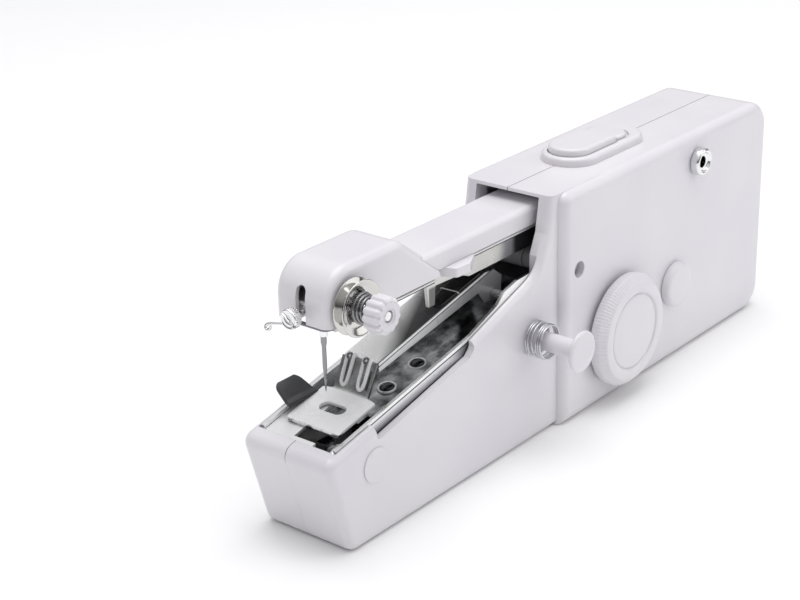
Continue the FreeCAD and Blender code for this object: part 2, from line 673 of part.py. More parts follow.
def crank():
    body = new_body("crank_and_cam")
    cam_low, disc_low, disc_high = -6.1, -4, -2.4
    add(body, "XZ_Plane", disc_low, disc_high, Circle(*WHEEL, 7.5))
    add(body, "XZ_Plane", cam_low, disc_low, Circle(D.wheel_x - D.cam_throw, D.wheel_z, D.cam_radius))
    cut(body, "XZ_Plane", cam_low, disc_low, Circle(*WHEEL, D.shaft_radius + PRESS_GAP))
    outline = [(0, 0), (CRANK_PIN_RADIUS, 0), (CRANK_PIN_RADIUS, 2.7), (2.9, 2.7), (2.9, 3.5), (0, 3.5)]
    turned("crank_pin", outline, (CRANK_PIN[0], disc_high, CRANK_PIN[1]), AWAY)


def flat_can(body, low, high, radius, half_height):
    """Round can around the motor's axis, cut flat above and below."""
    add(body, "XZ_Plane", low, high, Circle(*MOTOR, radius))
    for under, over in ((-12, -half_height), (half_height, 12)):
        slab = rectangle(MOTOR[0] - 12, MOTOR[0] + 12, MOTOR[1] + under, MOTOR[1] + over)
        cut(body, "XZ_Plane", low, high, slab)


def motor():
    nose, front, rear, back = -11.5, -11, 12, 14.2
    bore = Circle(*MOTOR, 1 + D.running_gap)
    body = new_body("motor_can")
    flat_can(body, front, rear, 9.5, 7.7)
    add(body, "XZ_Plane", nose, front + 0.1, Circle(*MOTOR, 3))
    cut(body, "XZ_Plane", nose, rear, bore)
    cap = new_body("motor_end_cap")
    flat_can(cap, rear, back, 9, 7.4)
    cut(cap, "XZ_Plane", rear, back - 0.6, bore)
    keep(rod("motor_shaft", 1, 27.6, (MOTOR[0], -14.3, MOTOR[1]), AWAY), "motor_shaft")


# ---------------------------------------------------------------- needle arm

def arm_frame():
    """Chrome inverted channel that carries the head; its side walls hang lower towards the housing."""
    body = new_body("arm_frame")
    top = D.cover_high - 1.9
    profile = [(-84, top), (-84, 59), (-81, 55.4), (-46.5, 55.4), (-45.8, 49.5), (-43.4, 49.5), (-43, 54.6),
               (-33, 54.2), (-29, 52.6), (-2, 52.6), (2, 51), (19, 51), (20, 53), (20, top)]
    add(body, "XZ_Plane", -D.arm_wall_half, D.arm_wall_half, profile)
    inner = D.arm_wall_half - D.arm_sheet
    cut(body, "XZ_Plane", -inner, inner, rectangle(-BIG, BIG, 0, top - D.arm_sheet))
    cut(body, "XZ_Plane", -10, 10, Circle(D.pivot_x, D.pivot_z, SLEEVE_RADIUS))
    return body


def arm_pivot():
    reach, pin_length = D.arm_wall_half + 1, 27.6
    ring("pivot_sleeve", PIVOT_RADIUS + D.running_gap, SLEEVE_RADIUS - 0.03, 2 * reach,
         (D.pivot_x, -reach, D.pivot_z), AWAY)
    turned("arm_pivot_pin", rectangle(0, PIVOT_RADIUS, 0, pin_length),
           (D.pivot_x, -pin_length / 2, D.pivot_z), AWAY)


def drive_lever():
    """Slotted plate below the arm pivot; the crank pin runs in its slot and rocks the needle arm."""
    body = new_body("drive_lever")
    pivot = (D.pivot_x.value, D.pivot_z.value)
    pin = (CRANK_PIN[0].value, CRANK_PIN[1].value)
    reach = math.dist(pivot, pin)
    down = ((pin[0] - pivot[0]) / reach, (pin[1] - pivot[1]) / reach)
    side = (-down[1], down[0])

    def spot(distance, offset):
        return pivot[0] + down[0] * distance + side[0] * offset, pivot[1] + down[1] * distance + side[1] * offset

    low, high = -1.6, -0.2
    outline = [spot(-4, -4.4), spot(46, -4.4), spot(48, 0), spot(46, 4.4), spot(-4, 4.4)]
    add(body, "XZ_Plane", low, high, outline)
    half = CRANK_PIN_RADIUS + 0.95
    cut(body, "XZ_Plane", low, high, [spot(34, -half), spot(43, -half), spot(44.2, 0), spot(43, half),
                                      spot(34, half), spot(32.8, 0)])
    cut(body, "XZ_Plane", low, high, Circle(D.pivot_x, D.pivot_z, SLEEVE_RADIUS))
    return body


def arm_cover():
    body = new_body("arm_cover")
    left, right, low, high = -50, 3, D.cover_high - 5.3, D.cover_high
    add(body, "YZ_Plane", left, right, rectangle(-D.cover_half, D.cover_half, low, high))
    dress(body, "Fillet", 1.6, lambda edge: along(edge, "x") and edge.BoundBox.ZMin > high.value - 0.1)
    inner = D.cover_half - D.cover_skin
    cut(body, "YZ_Plane", left, right, rectangle(-inner, inner, low, high - D.cover_skin))
    return body


def head_cover():
    body = new_body("head_cover")
    front, rear, low, high = D.head_front, D.head_rear, D.head_low, D.head_high
    add(body, "XZ_Plane", -D.head_half, D.head_half, [
        (front, low), (rear, low), (rear, low + 3), (rear - 14.5, high), (front, high)])
    dress(body, "Fillet", 8.5, lambda edge: along(edge, "y") and spans(
        edge, x=(-BIG, -80), z=(high.value, BIG)))
    dress(body, "Fillet", 6, lambda edge: along(edge, "y") and spans(edge, x=(-60, -50), z=(high.value, BIG)))
    dress(body, "Fillet", 2.4, lambda edge: edge.BoundBox.YLength < 1e-3 and edge.BoundBox.ZMax > low.value + 0.5
          and edge.BoundBox.XMin < -44)
    skin = D.cover_skin
    cut(body, "XZ_Plane", -(D.head_half - skin), D.head_half - skin, [
        (front + skin, low), (rear - 0.4, low), (rear - 0.4, low + 2.6), (rear - 15, high - skin),
        (front + 7, high - skin), (front + 2.6, high - 3.2), (front + skin, high - 7)])
    notch_half = D.cover_half + 0.1
    cut(body, "YZ_Plane", rear - 13, rear, rectangle(-notch_half, notch_half, low, D.cover_high + 0.1))
    slot_top = low + 8
    cut(body, "YZ_Plane", front, front + 3, rectangle(-D.slot_half, D.slot_half, low, slot_top))
    cut(body, "YZ_Plane", front, front + 3, Circle(0, slot_top, D.slot_half))
    cut(body, "XZ_Plane", -D.head_half, -(D.head_half - 2), Circle(D.tension_x, D.tension_z, 1.9))
    return body


def thread_guide():
    body = new_body("thread_guide")
    high = D.cover_high - 5.35
    outline = [(-41.3, -6.9), (-27.8, -6.9), (-28.8, -8.6), (-34.5, -11.6), (-39.6, -11.2)]
    add(body, "XY_Plane", high - 2.4, high, outline)
    dress(body, "Fillet", 0.9, lambda edge: along(edge, "z") and edge.BoundBox.YMax < -8)
    return body


def needle_set():
    bore, clamp_length, screw_z = 0.78, 9.85, 60
    clamp_low = 51.6
    clamp = turned("needle_clamp", [(bore, 0), (1, 0), (1, 1.6), (1.6, 2.4), (1.6, 5), (2.3, 5.8),
                                    (2.3, clamp_length), (bore, clamp_length)], (D.needle_x, 0, clamp_low), UP)
    cut(clamp, "YZ_Plane", -BIG, 0, Circle(0, screw_z - clamp_low, 1 + PRESS_GAP))
    turned("needle", [(0, 0), (0.25, 1.6), (0.55, 6), (0.55, 12.5), (0.75, 13.2), (0.75, 24.5), (0, 24.5)],
           (D.needle_x, 0, D.needle_low), UP)
    shank_length, length = 8.8, 11.4
    screw = turned("needle_screw", [(0, 0), (1, 0), (1, shank_length), (2.6, shank_length), (2.6, length),
                                    (0, length)], (D.needle_x - 0.85, 0, screw_z), FORWARD)
    cut(screw, "XY_Plane", length - 1, length, rectangle(-0.4, 0.4, -3, 3))


def arm_bracket():
    """Front end plate of the arm that the needle clamp is riveted to."""
    body = new_body("clamp_bracket")
    low, top, half = 59.2, D.cover_high - 2.9, D.arm_wall_half - D.arm_sheet
    add(body, "XY_Plane", low, top, rectangle(-83.6, -74.2, -half, half))
    cut(body, "XY_Plane", low, top, Circle(D.needle_x, 0, 2.3 + PRESS_GAP))
    cut(body, "YZ_Plane", -90, D.needle_x - 2, Circle(0, 60, 1.2))
    return body


def thread_hook():
    """Bent wire below the head: from the front plate across to a small open hook at the far side."""
    radius = 0.42
    route = [Vector(-82.6, 2.6, 59.2), Vector(-82.6, 2.8, 56.4), Vector(-84.8, 5, 55.6), Vector(-85.6, 9, 55.2),
             Vector(-86, 11, 54.2), Vector(-86.6, 10.6, 52.8)]
    pieces = []
    for number, (start, end) in enumerate(zip(route, route[1:]), start=1):
        step = end - start
        pieces.append(rod(f"thread_hook_run_{number}", radius, step.Length, tuple(start), step))
        joint = doc.addObject("Part::Sphere", f"thread_hook_bend_{number}")
        joint.Radius = radius
        joint.Placement = Placement(end, Rotation())
        pieces.append(joint)
    fused("thread_hook", pieces)


def tension_set():
    side = -(D.head_half - D.cover_skin)
    place_at = (D.tension_x, D.tension_z)
    flange = 0.45
    turned("tension_stud", [(0, 0), (3.4, 0), (3.4, flange), (1.5, flange), (1.5, 13.85), (0, 13.85)],
           (place_at[0], side + flange, place_at[1]), WHEELWARD)
    dish = [(1.6, 0.1), (4.4, 0.1), (7.2, 1.25), (6.9, 1.6), (4.2, 0.55), (1.6, 0.55)]
    face = (place_at[0], -(D.head_half + 2.6), place_at[1])
    discs = [turned(f"tension_disc_{number}", dish, face, direction)
             for number, direction in enumerate((WHEELWARD, AWAY), start=1)]
    del parts[-2:]
    group("tension_discs", discs)
    spring_at = (place_at[0], -(D.head_half + 3.7), place_at[1])
    keep(coil("tension_spring", 4, 0.32, 1.1, 3.3, spring_at, WHEELWARD, cone=-18), "tension_spring")
    tension_knob()


def tension_knob():
    body = new_body("tension_knob")
    low, high = -(D.head_half + 12.6), -(D.head_half + 7.8)
    spot = (D.tension_x, D.tension_z)
    add(body, "XZ_Plane", low, high, Circle(*spot, D.knob_radius))
    dress(body, "Fillet", 0.6, lambda edge: spans(edge, y=(low.value, low.value)))
    flutes = 13
    reach = D.knob_radius + 0.4
    angles = [2 * math.pi * step / flutes for step in range(flutes)]
    notches = [Circle(spot[0] + reach * math.cos(angle), spot[1] + reach * math.sin(angle), 0.7)
               for angle in angles]
    cut(body, "XZ_Plane", low, high, *notches)
    cut(body, "XZ_Plane", low, high, Circle(*spot, 1.5 + D.running_gap))
    cut(body, "XZ_Plane", low, low + 0.6, Circle(*spot, 2.4))
    return body


# ---------------------------------------------------------------- lower frame, presser and looper

def lower_frame():
    """Chrome channel in the lower arm: sloping floor, walls level with the rim, ears for the presser pin."""
    body = new_body("lower_frame")
    start, end = -88.9, 1.5
    sheet_metal = D.frame_sheet
    profile = [(start + 1.6, floor(start) - sheet_metal), (end, floor(end) - sheet_metal),
               (end, floor(end) + 3.4), (-7.2, 45.8), (-9.2, 48.2), (-15, 48), (-21, 46.6), (-24, 43.8),
               (-36, rim(-36) + 0.4), (start, rim(start) + 0.3)]
    add(body, "XZ_Plane", -D.frame_half, D.frame_half, profile)
    inner = D.frame_half - sheet_metal
    cut(body, "XZ_Plane", -inner, inner, [(start, floor(start)), (end, floor(end)), (end, 70), (start, 70)])
    cut(body, "XY_Plane", 15, 25.7, rectangle(start, -70, -inner, inner))
    cut(body, "XY_Plane", 20, 40, rectangle(-71, -66.4, -7.2, -3))
    cut(body, "XZ_Plane", -14, 14, Circle(D.presser_pivot_x, D.presser_pivot_z, PRESSER_PIN_RADIUS + PRESS_GAP))
    cut(body, "XY_Plane", 15, 45, Circle(D.looper_x, D.looper_y, 1.2 + PRESS_GAP),
        *[Circle(spot, 0, 1.5) for spot in RIVETS])
    # thread eyelet in the front corner at the wheel side
    low, high, eye = 24.6, 25.5, (-83.4, -8.4)
    add(body, "XY_Plane", low, high, rectangle(eye[0] - 3, eye[0] + 3, -inner - 0.2, eye[1]))
    add(body, "XY_Plane", low, high, Circle(*eye, 2.98))
    cut(body, "XY_Plane", low, high, Circle(*eye, 0.9))
    return body


def frame_fittings():
    rivets = []
    lean = Vector(-D.slope.value, 0, 1)
    outline = [(0.9, 0.05), (2.7, 0.05), (2.3, 0.7), (1.2, 0.8), (0.9, 0.6)]
    for number, spot in enumerate(RIVETS, start=1):
        rivets.append(turned(f"frame_rivet_{number}", outline, (spot, 0, floor(spot)), lean))
        parts.pop()
    group("frame_rivets", rivets)
    plate = new_body("needle_plate")
    front, rear, half, lower, upper = -88.8, -71, 11.2, 1.6, 0.8
    add(plate, "XZ_Plane", -half, half, [(front, rim(front) - lower), (rear, rim(rear) - lower),
                                         (rear, rim(rear) - upper), (front, rim(front) - upper)])
    cut(plate, "XY_Plane", 15, 45, [(-91, -12), (-70, -12), (-70, -3), (-72.2, -3), (-72.2, 2.6), (-87.4, 2.6),
                                    (-87.4, -4.4), (-91, -4.4)])
    guard = new_body("looper_guard")
    low, high = 21.4, 23.4
    add(guard, "XY_Plane", low, high, rectangle(-86.6, -70, -2.8, half))
    cut(guard, "XY_Plane", low, high, rectangle(-80.6, -71.4, -1.7, 1.7))
    pin_length = 24.4
    turned("presser_pivot_pin", rectangle(0, PRESSER_PIN_RADIUS, 0, pin_length),
           (D.presser_pivot_x, -pin_length / 2, D.presser_pivot_z), AWAY)
    turned("looper_pin", [(0, 0), (1.8, 0), (1.8, 1), (1.2, 1), (1.2, 9.2), (0, 9.2)],
           (D.looper_x, D.looper_y, 17.4), UP)


def presser_arm():
    body = new_body("presser_arm")
    half, sheet_metal = D.presser_half, D.arm_sheet
    profile = [(-64.3, 38.2), (-23.5, 45.6), (-20.8, 42), (-13.6, 41), (-13.2, 47.5), (-16.5, 50.1),
               (-20.5, 50.3), (-64.3, 40.4)]
    add(body, "XZ_Plane", -half, half, profile)
    inner = half - sheet_metal
    cut(body, "XZ_Plane", -inner, inner, [(-66, 30), (-10, 30), (-10, 49), (-20.5, 49.3), (-64.3, 39.5),
                                          (-66, 39.2)])
    cut(body, "XY_Plane", 30, 60, rectangle(-19.5, -10, -inner, inner))
    bore = PRESSER_PIN_RADIUS + D.running_gap
    cut(body, "XZ_Plane", -half, half, Circle(D.presser_pivot_x, D.presser_pivot_z, bore))
    return body


def presser_foot():
    """Sheet-metal foot: sole with a needle slot, and the riser that hangs it from the presser arm."""
    body = new_body("presser_foot")
    sole = D.sole_half
    profile = [(-83.6, 28.8), (-83, 28.6), (-81.9, 29.2), (-68.6, 31.8), (-64.3, 40.2), (-65.2, 40.5),
               (-69.3, 32.6), (-82.4, 30)]
    add(body, "XZ_Plane", -sole, sole, profile)
    outside, riser = sole.value + 1, D.presser_half.value
    for side in (-1, 1):
        cut(body, "XY_Plane", 28, 45, [(-71.2, side * outside), (-71.2, side * sole.value), (-69, side * riser),
                                       (-60, side * riser), (-60, side * outside)])
    slot_x, slot_radius, slot_reach = -75.9, 1.85, 2.1
    middle = rectangle(slot_x - slot_radius, slot_x + slot_radius, -slot_reach, slot_reach)
    cut(body, "XY_Plane", 28, 40, middle)
    cut(body, "XY_Plane", 28, 40, Circle(slot_x, -slot_reach, slot_radius))
    cut(body, "XY_Plane", 28, 40, Circle(slot_x, slot_reach, slot_radius))
    return body


def presser_tab():
    body = new_body("presser_tab")
    low, high = -82.4, -71.6
    root, tip = D.sole_half, D.sole_half + 6.4
    add(body, "YZ_Plane", low, high, [(root, 31.1), (root + 1.2, 31.3), (tip, 34.9), (tip - 0.5, 35.9),
                                      (root + 0.5, 32.5), (root, 32.1)])
    corner = 1.4
    dress(body, "Fillet", corner, lambda edge: edge.BoundBox.YMin > tip.value - corner and edge.Length < 2
          and edge.BoundBox.XLength < 0.01)
    return body


def feed_parts():
    """Flat rod that the cam slides, with its front pin and the feed teeth that it carries."""
    body = new_body("drive_rod")
    centre = (D.wheel_x - D.cam_throw, D.wheel_z)
    gap_x, gap_z = D.cam_radius + 0.65, D.cam_radius + D.cam_throw + 0.5
    low, high, bar = -5.9, -4.4, 2
    add(body, "XZ_Plane", low, high, rectangle(centre[0] - gap_x - bar - 0.2, centre[0] + gap_x + bar + 0.2,
                                               centre[1] - gap_z - bar, centre[1] + gap_z + bar))
    cut(body, "XZ_Plane", low, high, rectangle(centre[0] - gap_x, centre[0] + gap_x, centre[1] - gap_z,
                                               centre[1] + gap_z))
    add(body, "XZ_Plane", low, high, rectangle(-80, centre[0] - gap_x - bar, D.rod_low, D.rod_high))
    dog = new_body("feed_dog")
    teeth = [(-80, 17.9), (-74, 17.9), (-74, 28.6)]
    pitch, fall = 1.5, 0.3
    for step in range(4):
        teeth += [(-74.2 - pitch * step, 29.2 - fall * step), (-75.2 - pitch * step, 28.2 - fall * step)]
    add(dog, "XZ_Plane", high, high + 1.2, teeth + [(-80, 27.2)])
    pin = Circle(D.looper_x - D.cam_throw, (low + high) / 2, 0.75)
    add(body, "XY_Plane", D.rod_high - 1, D.rod_high + 3.4, pin)


def looper():
    """Flat hook drawn at the end of its swing, behind the lowered needle, and turned back to rest."""
    body = new_body("looper")
    centre = (D.looper_x.value, D.looper_y.value)
    arm = D.looper_y.value + 5.15
    swing = math.degrees(2 * D.cam_throw.value / arm)
    low, high = 19.2, 20.6
    blade = [(-66, 9), (-71.8, 4.6), (-71.8, -0.8), (-70.9, -1.1), (-69.9, 2.4), (-67, 3.2)]
    fork = [(-68.4, 6), (-68.4, -7.6), (-67.15, -7.6), (-67.15, -2.6), (-64.85, -2.6), (-64.85, -7.6),
            (-63.6, -7.6), (-63.6, 6)]
    add(body, "XY_Plane", low, high, Circle(D.looper_x, D.looper_y, 3))
    add(body, "XY_Plane", low, high, [turn_point(spot, centre, -swing) for spot in blade])
    add(body, "XY_Plane", low, high, [turn_point(spot, centre, -swing / 2) for spot in fork])
    cut(body, "XY_Plane", low, high, Circle(D.looper_x, D.looper_y, 1.2 + D.running_gap))
    return body


def thread_stand():
    reach = D.spool_reach
    outside = -D.arm_half
    turned("spool_pin", [(0, -8), (D.spool_radius, -8), (D.spool_radius, reach - 1.2), (4.2, reach - 0.9),
                         (5.7, reach - 0.6), (5.7, reach + 0.5), (5.2, reach + 0.9), (0, reach + 1)],
           (D.spool_x, outside, D.spool_z), WHEELWARD)
    spring_at = (D.spool_x, outside - 0.5, D.spool_z)
    keep(coil("spool_spring", 4.8, 0.3, 1.5, 5.4, spring_at, WHEELWARD), "spool_spring")


# ---------------------------------------------------------------- build, check and write

def build():
    wheel_side_shell()
    plain_side_shell()
    shell_screws()
    battery_door()
    side_cap()
    switch_plate()
    power_button()
    lock_slider()
    switch_works()
    dc_jack()
    battery_set()
    gears()
    hand_wheel()
    shaft_parts()
    gear_plate()
    crank()
    motor()
    arm_frame()
    arm_pivot()
    drive_lever()
    arm_cover()
    head_cover()
    thread_guide()
    needle_set()
    arm_bracket()
    thread_hook()
    tension_set()
    lower_frame()
    frame_fittings()
    presser_arm()
    presser_foot()
    presser_tab()
    feed_parts()
    looper()
    thread_stand()
    doc.recompute()


def check_and_write():
    failed = [item.Label for item in doc.Objects if "Invalid" in item.State or "Error" in item.State]
    if failed:
        raise RuntimeError("failed features: " + ", ".join(failed))
    for item in parts:
        if item.Shape.isNull() or not item.Shape.isValid() or not item.Shape.Solids:
            raise RuntimeError(f"{item.Label}: its shape is empty or not valid")
    os.makedirs("parts", exist_ok=True)
    for item in parts:
        item.Shape.exportStep(f"parts/{item.Label}.step")
    print(len(parts), "sub-parts written")


build()
check_and_write()
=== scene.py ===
import json
import math

import bmesh
import bpy
from mathutils import Matrix, Vector


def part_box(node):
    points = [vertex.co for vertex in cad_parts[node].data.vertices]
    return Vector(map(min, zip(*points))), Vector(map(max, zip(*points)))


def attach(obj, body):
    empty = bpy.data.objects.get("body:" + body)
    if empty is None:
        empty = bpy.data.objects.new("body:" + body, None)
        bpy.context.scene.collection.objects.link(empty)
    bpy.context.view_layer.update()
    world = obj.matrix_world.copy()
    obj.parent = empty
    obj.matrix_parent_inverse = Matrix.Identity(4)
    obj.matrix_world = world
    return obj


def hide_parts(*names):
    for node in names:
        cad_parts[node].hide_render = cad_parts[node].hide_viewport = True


# Looks of a hand-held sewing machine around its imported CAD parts, in metres.
# +X runs from the needle end to the battery end, the hand wheel is on the -Y side and +Z is up.

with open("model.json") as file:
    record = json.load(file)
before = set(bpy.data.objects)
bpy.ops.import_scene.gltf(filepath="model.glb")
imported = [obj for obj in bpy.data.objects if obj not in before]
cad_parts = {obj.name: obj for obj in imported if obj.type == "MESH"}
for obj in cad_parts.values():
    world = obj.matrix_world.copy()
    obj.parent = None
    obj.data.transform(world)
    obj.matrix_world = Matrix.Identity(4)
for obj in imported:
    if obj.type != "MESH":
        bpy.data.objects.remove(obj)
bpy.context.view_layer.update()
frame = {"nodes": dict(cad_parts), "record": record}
MM = 0.001
# Parts of a noise's 0 to 1 range that are stretched over the whole range of a tone or a roughness.
MID_NOISE, WIDE_NOISE, TINT_NOISE, NARROW_NOISE = (0.3, 0.7), (0.3, 0.75), (0.35, 0.7), (0.35, 0.65)


def rise_of(front, rear):
    """Slope of the line between two (x, z) points."""
    return (rear[1] - front[1]) / (rear[0] - front[0])


# ---------------------------------------------------------------- material helpers

class Nodes:
    """Thin helper around one material's node tree."""

    def __init__(self, name):
        self.material = bpy.data.materials.new(name)
        self.material.use_nodes = True
        self.tree = self.material.node_tree
        self.shader = self.tree.nodes["Principled BSDF"]
        self.place = self.add("ShaderNodeTexCoord").outputs["Object"]

    def add(self, kind, **settings):
        node = self.tree.nodes.new(kind)
        for key, value in settings.items():
            setattr(node, key, value)
        return node

    def link(self, source, target):
        self.tree.links.new(source, target)

    def feed(self, node, inputs):
        for key, value in inputs.items():
            if isinstance(value, bpy.types.NodeSocket):
                self.link(value, node.inputs[key])
            else:
                node.inputs[key].default_value = value
        return node

    def noise(self, scale, detail=2.0, stretch=None):
        node = self.feed(self.add("ShaderNodeTexNoise"), {"Scale": scale, "Detail": detail})
        source = self.place
        if stretch:
            mapping = self.feed(self.add("ShaderNodeMapping"), {"Vector": self.place, "Scale": stretch})
            source = mapping.outputs["Vector"]
        self.link(source, node.inputs["Vector"])
        return node.outputs["Fac"]

    def spread(self, source, low, high, out_low=0.0, out_high=1.0):
        """Map a stretch of the source onto another range."""
        node = self.add("ShaderNodeMapRange", clamp=True)
        self.feed(node, {"Value": source, "From Min": low, "From Max": high,
                         "To Min": out_low, "To Max": out_high})
        return node.outputs["Result"]

    def math(self, operation, *values, clamp=False):
        node = self.add("ShaderNodeMath", operation=operation, use_clamp=clamp)
        for socket, value in zip(node.inputs, values):
            if isinstance(value, bpy.types.NodeSocket):
                self.link(value, socket)
            else:
                socket.default_value = value
        return node.outputs["Value"]

    def mix(self, factor, first, second):
        node = self.add("ShaderNodeMix", data_type="RGBA")
        for key, value in (("Factor", factor), ("A", first), ("B", second)):
            socket = next(item for item in node.inputs if item.name == key and item.enabled)
            if isinstance(value, bpy.types.NodeSocket):
                self.link(value, socket)
            else:
                socket.default_value = value
        return next(item for item in node.outputs if item.enabled)

    def axis(self, name):
        split = self.add("ShaderNodeSeparateXYZ")
        self.link(self.place, split.inputs["Vector"])
        return split.outputs[name]

    def depth_below(self, front, rear):
        """Depth below a straight edge from a front to a rear point, each an (x, z) in millimetres."""
        slope = rise_of(front, rear)
        level = (front[1] - slope * front[0]) * MM
        edge = self.math("ADD", self.math("MULTIPLY", self.axis("X"), slope), level)
        return self.math("SUBTRACT", edge, self.axis("Z"))

    def mottled(self, scale, ends, first, second, detail=3):
        """Two tones blended by a noise that is stretched between its two ends."""
        return self.mix(self.spread(self.noise(scale, detail), *ends), first, second)

    def paint(self, tint):
        self.link(tint, self.shader.inputs["Base Color"])

    def roughen(self, scale, low, high, detail=3, ends=MID_NOISE):
        """Roughness that wanders between two values."""
        self.link(self.spread(self.noise(scale, detail), *ends, low, high), self.shader.inputs["Roughness"])

    def relief(self, height, distance, radius=0.0):
        """Bump the surface by a height, and round its edges by a radius."""
        bump = self.feed(self.add("ShaderNodeBump"), {"Height": height, "Distance": distance})
        if radius:
            bevel = self.feed(self.add("ShaderNodeBevel", samples=4), {"Radius": radius})
            self.link(bevel.outputs["Normal"], bump.inputs["Normal"])
        self.link(bump.outputs["Normal"], self.shader.inputs["Normal"])


def colour(red, green, blue):
    return (red, green, blue, 1.0)


def darker(tone, share):
    return tuple(part * share for part in tone[:3]) + (1.0,)


WHITE = colour(0.745, 0.73, 0.768)
WHITE_WARM = colour(0.782, 0.758, 0.786)
SHADOW_LINE = colour(0.16, 0.15, 0.17)
# Painted highlight along the rolled edges of the plated sheets.
PAINTED_HEM_HIGHLIGHT = colour(0.95, 0.95, 0.95)
RIM_FRONT, RIM_BEND = (-94.5, 27), (-36, 39)  # (x, z) of the channel's rim, in mm
ARM_TOP_FRONT, ARM_TOP_REAR = (-64.3, 40.4), (-20.5, 50.3)  # (x, z) of the presser arm's top, in mm


def white_plastic(name, seam=False):
    """Glossy moulded ABS, very slightly lavender, with a faint orange-peel surface."""
    n = Nodes(name)
    tint = n.mottled(38, NARROW_NOISE, WHITE, WHITE_WARM, detail=1)
    height = n.noise(900, 3)
    if seam:
        groove = seam_groove(n)
        tint = n.mix(groove, tint, SHADOW_LINE)
        height = n.math("SUBTRACT", height, n.math("MULTIPLY", groove, 6.0))
    n.paint(tint)
    n.roughen(160, 0.28, 0.36, detail=2)
    n.feed(n.shader, {"Coat Weight": 0.25, "Coat Roughness": 0.12, "IOR": 1.52})
    n.relief(height, 0.012 * MM, 0.25 * MM)
    return n.material


def seam_groove(n):
    """1 on the parting line between the two shells, 0 elsewhere."""
    half = 0.11 * MM
    line = n.spread(n.math("ABSOLUTE", n.axis("Y")), half * 0.6, half, 1.0, 0.0)
    behind_toe = n.spread(n.axis("X"), -86 * MM, -84 * MM)
    near_rim = n.spread(n.axis("Z"), 22.5 * MM, 26 * MM)
    return n.math("MULTIPLY", line, n.math("MAXIMUM", behind_toe, near_rim))


def polished_metal(name, tone, roughness, grain=(1.0, 1.0, 1.0)):
    """Plated sheet metal: slight waviness from stamping, and fine wiping marks."""
    n = Nodes(name)
    n.paint(n.mottled(55, TINT_NOISE, tone, darker(tone, 0.9)))
    smear = n.spread(n.noise(70, 4, grain), *WIDE_NOISE, roughness * 0.7, roughness * 1.5)
    n.link(smear, n.shader.inputs["Roughness"])
    n.feed(n.shader, {"Metallic": 1.0})
    n.relief(n.noise(110, 2), 0.02 * MM, 0.12 * MM)
    return n.material


def channel_metal(name, tone):
    """Plated sheet of the lower channel, bright along its rim, with painted light and shade: painted shade
    and dark reflection, blotchy, down on its floor, and on the near wall's outer face a painted highlight
    along the rim, a dark painted shadow line under it and a stripe painted darker downwards and rearwards.
    """
    n = Nodes(name)
    depth = n.depth_below(RIM_FRONT, RIM_BEND)
    blotch = n.spread(n.noise(150, 3, (1.0, 2.2, 1.0)), *NARROW_NOISE, -1.2 * MM, 1.2 * MM)
    shade = n.spread(n.math("ADD", depth, blotch), 2.5 * MM, 6.4 * MM)
    # Painted shade and dark reflection for the floor, blotchy.
    painted_floor_shade = n.mottled(230, (0.4, 0.62), colour(0.07, 0.075, 0.075), colour(0.3, 0.31, 0.31))
    inside = n.mix(shade, tone, painted_floor_shade)
    outside = n.spread(n.axis("Y"), -12.2 * MM, -12.1 * MM, 1.0, 0.0)
    # Outer face: painted highlight at the rim, a dark painted shadow line under it, then painted shade that
    # darkens downwards and rearwards.
    hem_highlight = n.spread(depth, 0.35 * MM, 0.5 * MM)
    shadow_under_hem = n.spread(depth, 0.75 * MM, 0.95 * MM)
    depth_shade = n.spread(depth, 1.1 * MM, 3.9 * MM)
    rear = n.spread(n.axis("X"), -46 * MM, -38 * MM)
    shaded_band = n.mix(n.math("MAXIMUM", depth_shade, rear), colour(0.84, 0.84, 0.86), colour(0.12, 0.12, 0.13))
    shaded_band = n.mix(n.math("SUBTRACT", hem_highlight, shadow_under_hem, clamp=True), shaded_band, colour(0.05, 0.05, 0.05))
    n.paint(n.mix(outside, inside, n.mix(hem_highlight, PAINTED_HEM_HIGHLIGHT, shaded_band)))
    n.roughen(90, 0.16, 0.3)
    n.link(n.math("SUBTRACT", 1.0, n.math("MULTIPLY", outside, 0.6)), n.shader.inputs["Metallic"])
    n.relief(n.noise(120, 2), 0.03 * MM, 0.15 * MM)
    return n.material


def foot_metal(name, tone):
    """Plated foot: bright sole, a front lip flecked with painted reflections, and a riser painted dim as a
    painted reflection of the dark channel.
    """
    n = Nodes(name)
    riser = n.spread(n.axis("X"), -69.6 * MM, -69.0 * MM)
    lip = n.spread(n.axis("Z"), 29.2 * MM, 29.5 * MM, 1.0, 0.0)
    # Painted reflection of the dark channel on the riser; painted reflections flecked over the front lip.
    painted_grey = n.mottled(260, NARROW_NOISE, colour(0.2, 0.2, 0.2), colour(0.42, 0.42, 0.42))
    speckled_reflections = n.mottled(420, (0.45, 0.55), colour(0.75, 0.75, 0.75), colour(0.08, 0.08, 0.08))
    sole = n.mix(lip, n.mottled(60, (0.4, 0.7), tone, colour(0.9, 0.9, 0.91), detail=2), speckled_reflections)
    n.paint(n.mix(riser, sole, painted_grey))
    n.roughen(140, 0.22, 0.32)
    n.link(n.math("MULTIPLY", n.math("MAXIMUM", riser, lip), 0.8), n.shader.inputs["Metallic"])
    n.relief(n.noise(160, 2), 0.006 * MM, 0.08 * MM)
    return n.material


def satin_metal(name, tone, metallic=0.55):
    """Satin plating, rougher than a mirror, with a near-white tone and little metal: a painted sheen that
    stays bright from every side.
    """
    n = Nodes(name)
    roughness = 0.32
    n.paint(n.mottled(80, TINT_NOISE, tone, darker(tone, 0.86)))
    n.roughen(120, roughness * 0.8, roughness * 1.3, ends=WIDE_NOISE)
    n.feed(n.shader, {"Metallic": metallic})
    n.relief(n.noise(140, 2), 0.012 * MM, 0.1 * MM)
    return n.material


